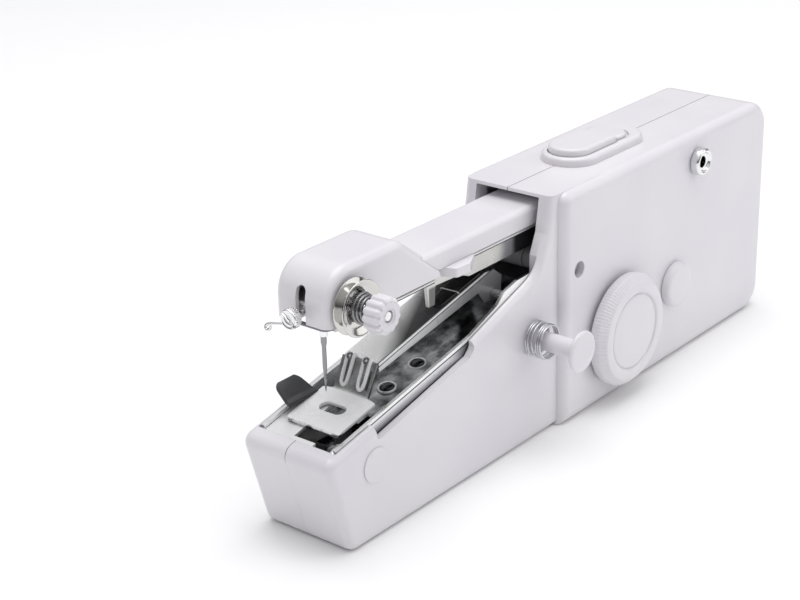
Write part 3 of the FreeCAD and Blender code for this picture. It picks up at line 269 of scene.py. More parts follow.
def arm_metal(name):
    """Plating of the needle arm: light and warm, with painted shade, dark on its tab and where it runs into
    the housing.
    """
    n = Nodes(name)
    light = n.mottled(60, TINT_NOISE, colour(0.74, 0.735, 0.7), colour(0.62, 0.615, 0.59))
    # Painted shade: dimmer and then very dark where the arm runs into the housing.
    painted_grey = n.spread(n.axis("X"), -16 * MM, -13 * MM)
    housing_shade = n.spread(n.axis("X"), -10.5 * MM, -8.5 * MM)
    # Painted shade on the tab.
    under_rim = n.spread(n.axis("Z"), 54.2 * MM, 54.8 * MM, 1.0, 0.0)
    behind_front = n.spread(n.axis("X"), -45.9 * MM, -45.5 * MM)
    before_rear = n.spread(n.axis("X"), -43.2 * MM, -42.8 * MM, 1.0, 0.0)
    tab = n.math("MULTIPLY", under_rim, n.math("MULTIPLY", behind_front, before_rear))
    tint = n.mix(painted_grey, light, colour(0.3, 0.3, 0.32))
    n.paint(n.mix(n.math("MAXIMUM", n.math("MULTIPLY", tab, 0.8), housing_shade), tint, colour(0.03, 0.03, 0.035)))
    n.roughen(120, 0.24, 0.4, ends=WIDE_NOISE)
    n.feed(n.shader, {"Metallic": 0.5})
    n.relief(n.noise(110, 2), 0.015 * MM, 0.12 * MM)
    return n.material


def presser_metal(name):
    """Plating of the presser arm with painted light and shade: the top carries a painted reflection of the
    needle arm and a dark painted shade line at its near edge, and the side has a painted highlight along its
    rolled edge, a crease painted dark as a shadow line, and painted shade that darkens rearwards.
    """
    n = Nodes(name)
    side = n.spread(n.math("ABSOLUTE", n.axis("Y")), 5.25 * MM, 5.45 * MM)
    depth = n.depth_below(ARM_TOP_FRONT, ARM_TOP_REAR)
    # Painted reflection of the needle arm on the top, with a dark painted shade line at the near edge.
    across = n.math("MULTIPLY", n.math("ADD", n.axis("Y"), 5.6 * MM), 2.3)
    painted_reflection = n.spread(n.math("SUBTRACT", n.axis("X"), across), -67 * MM, -55 * MM)
    near_edge_shade = n.spread(n.axis("Y"), -5.1 * MM, -4.9 * MM, 1.0, 0.0)
    painted_reflection = n.math("MAXIMUM", painted_reflection, near_edge_shade)
    top = n.mix(painted_reflection, colour(0.97, 0.97, 0.97), colour(0.07, 0.07, 0.075))
    # Side: painted shade that darkens rearwards, a painted highlight along the rolled edge and a dark painted
    # shadow line at the crease.
    rearward_shade = n.spread(n.axis("X"), -60 * MM, -26 * MM)
    shaded_band = n.mix(rearward_shade, colour(0.86, 0.86, 0.87), colour(0.36, 0.36, 0.37))
    hem_bottom = (0.5 * MM, 0.6 * MM)
    crease = n.math("SUBTRACT", n.spread(depth, *hem_bottom), n.spread(depth, 0.85 * MM, 0.95 * MM))
    hem_highlight = n.spread(depth, *hem_bottom, 1.0, 0.0)
    wall = n.mix(hem_highlight, n.mix(crease, shaded_band, colour(0.06, 0.06, 0.06)), PAINTED_HEM_HIGHLIGHT)
    n.paint(n.mix(side, top, wall))
    n.roughen(90, 0.22, 0.36)
    n.feed(n.shader, {"Metallic": 0.35})
    n.relief(n.noise(90, 2), 0.012 * MM, 0.12 * MM)
    return n.material


def dark_plastic(name, roughness=0.4, first=0.012, second=0.035):
    n = Nodes(name)
    n.paint(n.mix(n.noise(120, 3), colour(first, first, first * 1.15), colour(second, second, second * 1.12)))
    n.roughen(300, roughness * 0.75, roughness * 1.25)
    n.relief(n.noise(1500, 2), 0.02 * MM, 0.15 * MM)
    return n.material


def plain_plastic(name, first, second, roughness):
    n = Nodes(name)
    n.paint(n.mix(n.noise(200, 3), first, second))
    n.roughen(500, roughness - 0.06, roughness + 0.06, detail=2)
    n.relief(n.noise(1200, 2), 0.015 * MM, 0.15 * MM)
    return n.material


def cell_sleeve(name):
    """Shrink-wrapped sleeve in a dark, slightly metallic blue."""
    n = Nodes(name)
    n.paint(n.mix(n.noise(90, 2), colour(0.03, 0.06, 0.13), colour(0.05, 0.09, 0.18)))
    n.roughen(300, 0.2, 0.34, detail=2)
    n.feed(n.shader, {"Metallic": 0.4})
    n.relief(n.noise(700, 2), 0.01 * MM)
    return n.material


CHROME_TONE = colour(0.86, 0.86, 0.87)
MATERIALS = {
    "white_plastic": white_plastic("white_plastic"),
    "shell_plastic": white_plastic("shell_plastic", seam=True),
    "chrome": polished_metal("chrome", CHROME_TONE, 0.09),
    "channel_chrome": channel_metal("channel_chrome", CHROME_TONE),
    "foot_chrome": foot_metal("foot_chrome", colour(0.96, 0.96, 0.96)),
    # Satin plating and bright trim carry a painted sheen: near-white and weakly metallic, they stay bright
    # from every side.
    "satin_chrome": satin_metal("satin_chrome", colour(0.93, 0.93, 0.93)),
    "bright_trim": satin_metal("bright_trim", colour(0.97, 0.97, 0.97), metallic=0.15),
    "disc_steel": polished_metal("disc_steel", colour(0.66, 0.655, 0.632), 0.1),
    "arm_chrome": arm_metal("arm_chrome"),
    "presser_chrome": presser_metal("presser_chrome"),
    "needle_steel": polished_metal("needle_steel", colour(0.3, 0.3, 0.31), 0.22),
    "steel": polished_metal("steel", colour(0.62, 0.62, 0.64), 0.3, grain=(1.0, 8.0, 8.0)),
    "dark_steel": polished_metal("dark_steel", colour(0.2, 0.2, 0.22), 0.28),
    "brass": polished_metal("brass", colour(0.72, 0.55, 0.27), 0.28),
    "black_plastic": dark_plastic("black_plastic"),
    "black_gloss": dark_plastic("black_gloss", 0.14, 0.006, 0.012),
    "nylon": plain_plastic("nylon", colour(0.78, 0.77, 0.71), colour(0.84, 0.83, 0.78), 0.42),
    "cell_sleeve": cell_sleeve("cell_sleeve"),
}


OWN_LOOK = {"lower_frame": "channel_chrome", "looper_guard": "black_gloss", "arm_frame": "arm_chrome",
            "wheel_side_shell": "shell_plastic", "plain_side_shell": "shell_plastic",
            "presser_arm": "presser_chrome", "needle_plate": "satin_chrome"}
SLOTS = {item["node"]: item["material_slot"] for item in frame["record"]["subparts"]}


def dress_nodes():
    """Give every CAD node its own look, or else the procedural material of its record slot."""
    for name, node in frame["nodes"].items():
        node.data.materials.clear()
        node.data.materials.append(MATERIALS[OWN_LOOK.get(name, SLOTS[name])])


# ---------------------------------------------------------------- mesh helpers, in millimetres

HOME = {node: body for body, nodes in frame["record"]["behaviour"]["bodies"].items() for node in nodes}
UP, NEAR, FAR, FRONT = Vector((0, 0, 1)), Vector((0, -1, 0)), Vector((0, 1, 0)), Vector((-1, 0, 0))
CREASE, WIRE_CREASE = 35, 60  # degrees: edges that bend by more stay sharp
ON_AXIS = 1e-6  # a smaller radius counts as a point on the axis


def corners(node):
    """Lowest and highest corner of a CAD node, in millimetres."""
    low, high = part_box(node)
    return Vector(low) / MM, Vector(high) / MM


def round_part(node):
    """Foot, radius and depth of a round CAD node that points towards -Y."""
    low, high = corners(node)
    middle = (low + high) / 2
    return Vector((middle.x, high.y, middle.z)), (high.x - low.x) / 2, high.y - low.y


def finished(name, mesh, material, crease=CREASE):
    """Object of a mesh given in millimetres, shaded smooth except at its sharp edges."""
    mesh.transform(Matrix.Scale(MM, 4))
    mesh.shade_smooth()
    mesh.set_sharp_from_angle(angle=math.radians(crease))
    item = bpy.data.objects.new(name, mesh)
    bpy.context.collection.objects.link(item)
    item.data.materials.append(MATERIALS[material])
    return item


def stands_for(piece, node):
    """Let a piece take the place of a CAD node: its body and its visible shape."""
    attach(piece, HOME[node])
    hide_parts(node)
    return piece


def added(piece, body):
    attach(piece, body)
    return piece


def rounded(points, radius, steps=4):
    """Polyline with every inner corner replaced by a small curve of about the given radius."""
    points = [Vector(point) for point in points]
    result = [points[0]]
    for before, corner, after in zip(points, points[1:], points[2:]):
        reach_in = min(radius, (before - corner).length * 0.45)
        reach_out = min(radius, (after - corner).length * 0.45)
        start = corner + (before - corner).normalized() * reach_in
        end = corner + (after - corner).normalized() * reach_out
        for step in range(steps + 1):
            t = step / steps
            result.append(start * (1 - t) ** 2 + corner * 2 * t * (1 - t) + end * t ** 2)
    return result + [points[-1]]


def split_evenly(points, spacing):
    """The same polyline with points at most a spacing apart."""
    result = [points[0]]
    for start, end in zip(points, points[1:]):
        count = max(1, math.ceil((end - start).length / spacing))
        result += [start.lerp(end, step / count) for step in range(1, count + 1)]
    return result


def lathe_rings(form, profile, spot, direction, steps, ripple, closed):
    """Add a surface of revolution of (radius, height) points to a bmesh; a radius of 0 closes an end."""
    turn = UP.rotation_difference(direction)
    rings = []
    for radius, height in profile:
        count = steps if radius > ON_AXIS else 1
        ring = []
        for step in range(count):
            angle = 2 * math.pi * step / steps
            out, up = ripple(radius, height, angle) if ripple else (radius, height)
            place = Vector(spot) + turn @ Vector((out * math.cos(angle), out * math.sin(angle), up))
            ring.append(form.verts.new(place))
        rings.append(ring)
    pairs = list(zip(rings, rings[1:])) + ([(rings[-1], rings[0])] if closed else [])
    for low, high in pairs:
        for step in range(steps):
            after = (step + 1) % steps
            around = [low[step % len(low)], low[after % len(low)],
                      high[after % len(high)], high[step % len(high)]]
            corner_set = list(dict.fromkeys(around))
            if len(corner_set) > 2:
                form.faces.new(corner_set)


def mesh_of(name, form):
    bmesh.ops.recalc_face_normals(form, faces=form.faces)
    mesh = bpy.data.meshes.new(name)
    form.to_mesh(mesh)
    form.free()
    return mesh


def lathe(name, material, *turns, steps=96, ripple=None, closed=False):
    """One object of one or more surfaces of revolution, each a (profile, spot, direction)."""
    form = bmesh.new()
    for profile, spot, direction in turns:
        lathe_rings(form, profile, spot, direction, steps, ripple, closed)
    return finished(name, mesh_of(name, form), material)


def strip(name, material, path, thickness, half_width, place):
    """Sheet along a path of 2-D points; half_width(point) is its reach each side of the path's plane."""
    form = bmesh.new()
    sections = []
    for number, point in enumerate(path):
        ahead = path[min(number + 1, len(path) - 1)] - path[max(number - 1, 0)]
        normal = Vector((-ahead.y, ahead.x)).normalized() * (thickness / 2)
        reach = half_width(point)
        upper, lower = point + normal, point - normal
        ring = ((upper, -reach), (upper, reach), (lower, reach), (lower, -reach))
        sections.append([form.verts.new(place(spot.x, spot.y, across)) for spot, across in ring])
    for first, second in zip(sections, sections[1:]):
        for edge in range(4):
            after = (edge + 1) % 4
            form.faces.new([first[edge], first[after], second[after], second[edge]])
    form.faces.new(sections[0])
    form.faces.new(sections[-1])
    return finished(name, mesh_of(name, form), material)


def prism(name, material, outline, low, high, place):
    """Solid between two heights over a 2-D outline."""
    form = bmesh.new()
    rings = [[form.verts.new(place(x, y, height)) for x, y in outline] for height in (low, high)]
    for number in range(len(outline)):
        after = (number + 1) % len(outline)
        form.faces.new([rings[0][number], rings[0][after], rings[1][after], rings[1][number]])
    form.faces.new(rings[0])
    form.faces.new(rings[1])
    return finished(name, mesh_of(name, form), material)


def capsule(x, y, reach, radius, steps=10):
    """Outline of a slot that is long in y."""
    points = []
    for end, start in ((1, 0.0), (-1, math.pi)):
        for step in range(steps + 1):
            angle = start + math.pi * step / steps
            points.append((x + radius * math.cos(angle), y + end * reach + radius * math.sin(angle)))
    return points


def evaluated_mesh(item):
    """Mesh of an object as its modifiers or its curve settings shape it."""
    bpy.context.view_layer.update()
    return bpy.data.meshes.new_from_object(item.evaluated_get(bpy.context.evaluated_depsgraph_get()))


def bake(item):
    """Replace an object's mesh by the result of its modifiers."""
    mesh = evaluated_mesh(item)
    item.modifiers.clear()
    item.data = mesh


def carve(item, *cutters):
    for cutter in cutters:
        step = item.modifiers.new("carve", "BOOLEAN")
        step.operation = "DIFFERENCE"
        step.solver = "EXACT"
        step.object = cutter
    bake(item)
    for cutter in cutters:
        bpy.data.objects.remove(cutter)
    return item


def soften(item, width, segments=3):
    """Bevel the sharp edges by a width in millimetres."""
    step = item.modifiers.new("soften", "BEVEL")
    step.width = width * MM
    step.segments = segments
    step.limit_method = "ANGLE"
    step.angle_limit = math.radians(CREASE)
    bake(item)
    item.data.shade_smooth()
    item.data.set_sharp_from_angle(angle=math.radians(CREASE))
    return item


def wire(name, material, routes, radius):
    """Round wire through control points, as one curve object; several routes make several wires."""
    curve = bpy.data.curves.new(name, "CURVE")
    curve.dimensions = "3D"
    curve.bevel_depth = radius * MM
    curve.bevel_resolution = 5
    curve.use_fill_caps = True
    for route in routes:
        line = curve.splines.new("NURBS")
        line.points.add(len(route) - 1)
        for point, place in zip(line.points, route):
            point.co = (*(Vector(place) * MM), 1)
        line.order_u = 4
        line.use_endpoint_u = True
        line.resolution_u = 5
    item = bpy.data.objects.new(name, curve)
    bpy.context.collection.objects.link(item)
    mesh = evaluated_mesh(item)
    bpy.data.objects.remove(item)
    mesh.transform(Matrix.Scale(1 / MM, 4))
    return finished(name, mesh, material, WIRE_CREASE)


# ---------------------------------------------------------------- turned plastic pieces

def hand_wheel():
    """Wheel with fine teeth on its rim and outer bevel, a smooth ring, and a disc inside a groove."""
    foot, outer, depth = round_part("hand_wheel")
    teeth, tooth_depth, teeth_start = 110, 0.13, 2.9
    bevel_start, bevel_end = outer - 0.4, outer - 1.9

    def knurl(radius, height, angle):
        if height < teeth_start or radius < bevel_end - 0.01:
            return radius, height
        bite = tooth_depth * (0.5 + 0.5 * math.cos(teeth * angle))
        return radius - bite, height - bite * (0.9 if radius < bevel_start else 0.0)

    profile = rounded([(0, 0.9), (3.3, 0.9), (3.3, 2.8), (outer - 1, 2.8), (outer, 3.5), (outer, depth - 2),
                       (outer - 2, depth - 0.1), (outer - 4.2, depth), (11.4, depth - 0.15),
                       (11.15, depth - 0.75), (10.95, depth - 0.75), (10.7, depth - 0.35),
                       (7, depth - 0.12), (0, depth - 0.1)], 0.6)
    wheel = lathe("hand_wheel_body", "white_plastic", (profile, foot, NEAR), steps=teeth * 6, ripple=knurl)
    return stands_for(wheel, "hand_wheel")


def tension_knob():
    """Knob with broad rounded flutes, softened face and a small raised ring around the stud."""
    foot, outer, depth = round_part("tension_knob")
    flutes, flute_depth, bore = 13, 0.52, 1.55

    def scallop(radius, height, angle):
        if radius < outer - 0.9:
            return radius, height
        valley = (0.5 + 0.5 * math.cos(flutes * angle)) ** 2
        return radius - flute_depth * valley, height

    profile = rounded([(bore, 0), (outer - 0.2, 0), (outer, 0.3), (outer, depth - 0.9),
                       (outer - 0.7, depth - 0.15), (3.1, depth - 0.1), (2.6, depth - 0.12), (2.45, depth),
                       (2.1, depth), (1.95, depth - 0.35), (bore, depth - 0.35)], 0.3)
    knob = lathe("tension_knob_body", "white_plastic", (profile, foot, NEAR), steps=flutes * 16,
                 ripple=scallop, closed=True)
    return stands_for(knob, "tension_knob")


def tension_stud():
    """Stud with a domed end and rolled thread."""
    foot, _, length = round_part("tension_stud")
    base = [(0, 0), (3.4, 0), (3.4, 0.45), (1.5, 0.45)]
    thread = [(1.5 - 0.14 * (step % 2), 5.5 + 0.3 * step) for step in range(25)]
    tip = [(1.4, length - 0.5), (1.1, length - 0.15), (0, length)]
    stud = lathe("tension_stud_body", "chrome", (base + thread + tip, foot, NEAR), steps=48)
    return stands_for(stud, "tension_stud")


def tension_discs():
    """Two dished discs, hollow sides together, with rolled rims."""
    low, high = corners("tension_discs")
    middle = (low + high) / 2
    outer = (high.x - low.x) / 2
    dish = rounded([(1.6, 0.1), (4.3, 0.1), (5.0, 0.35), (outer - 0.5, 1.15), (outer, 1.35),
                    (outer - 0.15, 1.62), (outer - 0.6, 1.5), (4.9, 0.75), (4.2, 0.55), (1.6, 0.55)], 0.3)
    discs = lathe("tension_disc_pair", "disc_steel", (dish, middle, NEAR), (dish, middle, FAR), steps=128,
                  closed=True)
    return stands_for(discs, "tension_discs")


def tension_spring():
    """Conical wire spring between the discs and the knob, narrower at the knob's end."""
    foot, outer, _ = round_part("tension_spring")
    radius, turns, pitch, steps = 0.4, 4.2, 0.95, 16
    start, wide, narrow = foot.y - radius, outer - radius, 2.6
    route = []
    for step in range(int(turns * steps) + 1):
        share = step / (turns * steps)
        angle = 2 * math.pi * step / steps
        reach = wide + (narrow - wide) * share
        route.append((foot.x + reach * math.cos(angle), start - pitch * step / steps,
                      foot.z + reach * math.sin(angle)))
    return stands_for(wire("tension_spring_coil", "needle_steel", [route], radius), "tension_spring")


def spool_pin():
    """Pin with a thin end disc whose face is slightly domed."""
    foot, head, length = round_part("spool_pin")
    profile = rounded([(0, 0), (2.6, 0), (2.6, length - 2.4), (3.4, length - 2.0), (head - 0.6, length - 1.7),
                       (head, length - 1.2), (head, length - 0.6), (head - 0.6, length - 0.15),
                       (head * 0.6, length - 0.03), (0, length)], 0.5)
    return stands_for(lathe("spool_pin_body", "white_plastic", (profile, foot, NEAR)), "spool_pin")


def spool_spring():
    """Thin wire wound in two groups of close turns with one long turn between them."""
    foot, outer, _ = round_part("spool_spring")
    radius, steps, close, wide = 0.3, 16, 0.66, 1.9
    ring = outer - radius
    route, depth = [], foot.y - radius
    for pitch in (close, close, wide, close, close, close):
        for step in range(steps):
            angle = 2 * math.pi * step / steps
            route.append((foot.x + ring * math.cos(angle), depth, foot.z + ring * math.sin(angle)))
            depth -= pitch / steps
    return stands_for(wire("spool_spring_coil", "steel", [route], radius), "spool_spring")


def side_cap():
    """Slightly domed round cap on a narrow stem."""
    foot, outer, depth = round_part("side_cap")
    profile = rounded([(0, 0), (2.4, 0), (2.4, 1.6), (outer, 1.6), (outer, depth - 1.1),
                       (outer - 0.8, depth - 0.25), (outer * 0.6, depth - 0.06), (0, depth)], 0.7)
    return stands_for(lathe("side_cap_dome", "white_plastic", (profile, foot, NEAR)), "side_cap")


def jack_bushing():
    """Plated bushing with a rolled lip and a flange against the housing."""
    foot, flange, depth = round_part("dc_jack_bushing")
    bore, body = 1.75, 2.9
    profile = rounded([(bore, 0), (body, 0), (body, depth - 3), (flange - 0.5, depth - 3),
                       (flange, depth - 2.6), (flange, depth - 0.6), (flange - 0.4, depth - 0.1),
                       (flange - 1.0, depth), (body, depth - 0.35), (2.6, depth - 0.9),
                       (bore, depth - 1.0)], 0.25)
    ring = lathe("jack_bushing_ring", "chrome", (profile, foot, NEAR), closed=True)
    return stands_for(ring, "dc_jack_bushing")


# ---------------------------------------------------------------- small metal pieces

SCREW_SPOTS = ((7, 45, -1), (104, 60, 1), (58, 40, 1), (-81.5, 9, 1))  # x, z and side of each case screw
SCREW_LENGTH, RECESS_FLOOR = 12, 11.1
RIVET_REACH = 2.7
RIVET_LEAN = Vector((-0.204, 0, 1)).normalized()


def shell_screws():
    """Pan-head screws with a cross recess, deep in their holes; the toe of the housing is narrower."""
    widest, toe_inset = corners("shell_screws")[1].y, 2.5
    profile = rounded([(0, 0), (1.2, 0), (1.2, 9.6), (2.2, 10.8), (2.2, 11.3), (1.6, 11.9),
                       (0, SCREW_LENGTH)], 0.3)
    turns, cutters = [], []
    for across, up, side in SCREW_SPOTS:
        wall = widest if across > 0 else widest - toe_inset
        foot = wall - SCREW_LENGTH
        turns.append((profile, (across, foot * side, up), NEAR if side < 0 else FAR))
        for long, short in ((1.35, 0.28), (0.28, 1.35)):
            box = [(-long, -short), (long, -short), (long, short), (-long, short)]
            cutters.append(prism("recess", "steel", box, RECESS_FLOOR, SCREW_LENGTH + 1,
                                 lambda x, z, out: (across + x, (foot + out) * side, up + z)))
    return stands_for(carve(lathe("shell_screw_set", "steel", *turns, steps=48), *cutters), "shell_screws")


def frame_rivets():
    """Flared plated rings around dark domed rivet ends."""
    low, high = corners("frame_rivets")
    places = [Vector((low.x + RIVET_REACH, 0, low.z + 0.45)),
              Vector((high.x - RIVET_REACH, 0, high.z - 1.65))]
    ring = rounded([(1.9, 0.05), (2.7, 0.05), (2.68, 0.3), (2.45, 0.65), (2.1, 0.6), (1.9, 0.3)], 0.15)
    turns = [(ring, place, RIVET_LEAN) for place in places]
    rings = lathe("frame_rivet_rings", "satin_chrome", *turns, steps=64, closed=True)
    dome = rounded([(0, 0.06), (2.0, 0.06), (2.0, 0.45), (1.5, 1.05), (0, 1.35)], 0.55)
    turns = [(dome, place, RIVET_LEAN) for place in places]
    added(lathe("frame_rivet_domes", "black_gloss", *turns, steps=48), HOME["frame_rivets"])
    return stands_for(rings, "frame_rivets")


def needle():
    """Needle with a thick shank, a slim blade that is flattened around its eye, and a slender point."""
    low, high = corners("needle")
    middle = (low + high) / 2
    length, eye_height = 24.5, 4.2
    profile = [(0, 0), (0.12, 0.5), (0.25, 1.5), (0.42, 3.2), (0.5, 5.2), (0.55, 7), (0.55, 12.4),
               (0.75, 13.3), (0.75, 24.3), (0.6, length), (0, length)]

    def flats(radius, height, angle):
        pinch = 0.72 if 3.2 < height < 6 else 1.0
        return radius * (1 - (1 - pinch) * abs(math.sin(angle))), height

    point = (middle.x, middle.y, low.z)
    body = lathe("needle_body", "needle_steel", (profile, point, UP), steps=32, ripple=flats)
    eye = prism("eye", "needle_steel", capsule(0, 0, 0.45, 0.17, 6), -1, 1,
                lambda x, z, out: (middle.x + x, middle.y + out, low.z + eye_height + z))
    return stands_for(carve(body, eye), "needle")


def needle_screw():
    """Clamp screw with a ridged head, a raised rim around its face and a wide slanting slot."""
    low, high = corners("needle_screw")
    middle = (low + high) / 2
    length, head = high.x - low.x, (high.z - low.z) / 2
    ridges, ridge_depth = 28, 0.12

    def coined(radius, height, angle):
        if not length - 2.2 < height < length - 0.4 or radius <= head - 0.15:
            return radius, height
        return radius - ridge_depth * (0.5 + 0.5 * math.cos(ridges * angle)), height

    profile = rounded([(0, 0), (1, 0), (1, length - 2.6), (head - 0.3, length - 2.6), (head, length - 2.2),
                       (head, length - 1.3), (head, length - 0.5), (head - 0.25, length - 0.1),
                       (head - 0.7, length - 0.35), (0, length - 0.2)], 0.18)
    foot, face = (high.x, middle.y, middle.z), Vector((low.x, middle.y, middle.z))
    screw = lathe("needle_screw_body", "chrome", (profile, foot, FRONT), steps=ridges * 6, ripple=coined)
    tilt = Matrix.Rotation(math.radians(35), 3, "X")
    slot = prism("slot", "chrome", [(-4, -0.42), (4, -0.42), (4, 0.42), (-4, 0.42)], -2, 1.15,
                 lambda y, z, out: face + tilt @ Vector((out, y, z)))
    return stands_for(carve(screw, slot), "needle_screw")


def thread_hook():
    """Bent wire from the front plate across to a small open curl at the far side."""
    low, high = corners("thread_hook")
    start = Vector((high.x - 0.45, low.y + 0.9, 59.2))
    bends = ((0, 0, 0), (0, 0, -2), (-0.6, 0.8, -3.2), (-2.2, 3, -3.7), (-2.9, 5.6, -3.9), (-3.2, 7.9, -4.3),
             (-3.6, 8.5, -5.4), (-3.7, 7.7, -6.1), (-3.3, 6.8, -5.5), (-3.2, 6.9, -4.8))
    route = [start + Vector(bend) for bend in bends]
    return stands_for(wire("thread_hook_wire", "chrome", [route], 0.36), "thread_hook")


# ---------------------------------------------------------------- presser foot and the parts around it

RISER_TOP, RISER_FOOT = Vector((-64.75, 40.3)), Vector((-68.95, 32.2))
SOLE_FRONT, LIP = Vector((-82.1, 29.65)), Vector((-83.75, 28.75))
SOLE_HALF, RISER_HALF = 8.6, 5.6
SHEET = 0.85
NEEDLE_X = -75.9
LOOP_PLACES = (2.7, -2.7)


def presser_foot():
    """Bent sheet: riser, wide sole with a needle slot, bowed front edge that rolls down."""
    outline = rounded([RISER_TOP, RISER_FOOT, SOLE_FRONT, LIP], 1.5, 6)
    path = split_evenly(outline, 0.35)

    def reach(point):
        shoulder = min(1.0, max(0.0, (RISER_FOOT.x - 0.1 - point.x) / 0.7))
        corner = min(1.0, max(0.0, (LIP.x + 0.8 - point.x) / 0.8))
        wide = RISER_HALF + (SOLE_HALF - RISER_HALF) * math.sin(shoulder * math.pi / 2)
        return wide - 0.7 * (1 - math.sqrt(1 - corner ** 2))

    foot = strip("presser_foot_sheet", "foot_chrome", path, SHEET, reach, lambda x, z, across: (x, across, z))
    slot = prism("slot", "foot_chrome", capsule(NEEDLE_X, 0, 2.1, 1.85), 25, 36, lambda x, y, up: (x, y, up))
    slit = [(-4.85, 34.2), (-4.1, 34.2), (-4.1, 38.7), (-4.85, 38.7)]
    window = prism("window", "foot_chrome", slit, -72, -62, lambda y, z, x: (x, y, z))
    return stands_for(soften(carve(foot, slot, window), 0.16, 2), "presser_foot")


def riser_loops():
    """Two bright wire loops on the riser, each with a dark ring around a bright bead near its top: painted
    shade around a painted highlight.
    """
    along = (RISER_TOP - RISER_FOOT).normalized()
    front = Vector((-along.y, along.x))
    leg, lift, radius = 1.0, SHEET / 2 + 0.3, 0.5

    def spot(distance, off, across):
        flat = RISER_FOOT + along * distance + front * off
        return flat.x, across, flat.y

    routes = []
    half = [(9.0, lift - 1.5, leg * 0.7), (10.0, lift - 0.9, leg * 0.8), (9.9, lift + 0.2, leg),
            (8.6, lift, leg), (5.0, lift, leg), (2.4, lift, leg * 0.9)]
    for middle in LOOP_PLACES:
        left = [spot(distance, off, middle + across) for distance, off, across in half]
        right = [spot(distance, off, middle - across) for distance, off, across in reversed(half)]
        routes.append(left + [spot(1.6, lift, middle)] + right)
    added(wire("presser_foot_loops", "bright_trim", routes, radius), HOME["presser_foot"])
    # Dark steel rings as painted shade, bright beads as painted highlights.
    ring, thick, sides = 0.62, 0.34, 12
    angles = [step * math.pi / (sides / 2) for step in range(sides)]
    curl = [(ring + thick * math.cos(angle), thick * math.sin(angle)) for angle in angles]
    facing = Vector((front.x, -0.35, front.y + 0.35)).normalized()
    tops = [(Vector(spot(9.3, 1.15, middle)), facing) for middle in LOOP_PLACES]
    curls = lathe("presser_foot_curls", "dark_steel", *[(curl, place, way) for place, way in tops], steps=32,
                  closed=True)
    added(curls, HOME["presser_foot"])
    bead = rounded([(0, -0.3), (0.42, -0.3), (0.42, 0.1), (0, 0.32)], 0.2)
    beads = lathe("presser_foot_beads", "bright_trim", *[(bead, place, way) for place, way in tops], steps=24)
    added(beads, HOME["presser_foot"])


def presser_pad():
    """Black pad along the near side of the presser arm's top, crossed by a thin wire."""
    rise = rise_of(ARM_TOP_FRONT, ARM_TOP_REAR)
    outline = rounded([(-30, 0.5, 0), (-37.2, 0.4, 0), (-38.8, -2.4, 0), (-38.2, -4.7, 0), (-21, -4.9, 0),
                       (-19.8, -3.6, 0), (-19.8, -0.6, 0), (-21.2, 0.5, 0), (-29.9, 0.5, 0)], 1.3)

    def on_slope(x, y, height):
        return x, y, ARM_TOP_FRONT[1] + rise * (x - ARM_TOP_FRONT[0]) + height

    flat = [(spot.x, spot.y) for spot in outline]
    pad = prism("presser_pad_body", "black_gloss", flat, -0.1, 0.5, on_slope)
    added(soften(pad, 0.25), HOME["presser_arm"])
    route = [on_slope(-31.2, -5.2, 0.1), on_slope(-31.2, -4.9, 0.62), on_slope(-31.8, -2.4, 0.7),
             on_slope(-31.4, 0.4, 0.62), on_slope(-31.2, 0.9, 0.1)]
    added(wire("presser_pad_wire", "satin_chrome", [route], 0.16), HOME["presser_arm"])


def presser_tab():
    """Black lifting tab, wider at the foot and with rounded outer corners."""
    low, high = corners("presser_tab")
    middle = (low.x + high.x) / 2
    root, tip, corner = low.y, high.y, 1.9
    path = split_evenly(rounded([Vector((root - 0.2, low.z + 0.75)), Vector((root + 1.2, low.z + 1.0)),
                                 Vector((tip - 0.2, high.z - 0.55))], 0.8), 0.3)

    def reach(point):
        wide = 5.35 - 1.45 * (point.x - root) / (tip - root)
        start = tip - corner
        if point.x < start:
            return wide
        return wide - corner + corner * math.sqrt(max(0.0, 1 - ((point.x - start) / corner) ** 2))

    tab = strip("presser_tab_plate", "black_plastic", path, 1.15, reach,
                lambda y, z, across: (middle + across, y, z))
    return stands_for(soften(tab, 0.28), "presser_tab")


def front_eyelet():
    """Domed plated eyelet on the channel's front corner, with a small dark hole."""
    profile = rounded([(0.16, 0), (1, 0), (0.96, 0.5), (0.6, 1.1), (0.28, 1.2), (0.16, 0.9)], 0.12)
    form = bmesh.new()
    lathe_rings(form, profile, (0, 0, 0), UP, 48, None, True)
    squeeze, corner = Matrix.Diagonal((3.0, 1.5, 1.0, 1.0)), Matrix.Translation((-85.3, -9.75, 26.0))
    bmesh.ops.transform(form, matrix=corner @ squeeze, verts=form.verts)
    eyelet = finished("frame_front_eyelet", mesh_of("eyelet", form), "satin_chrome")
    return added(eyelet, HOME["lower_frame"])


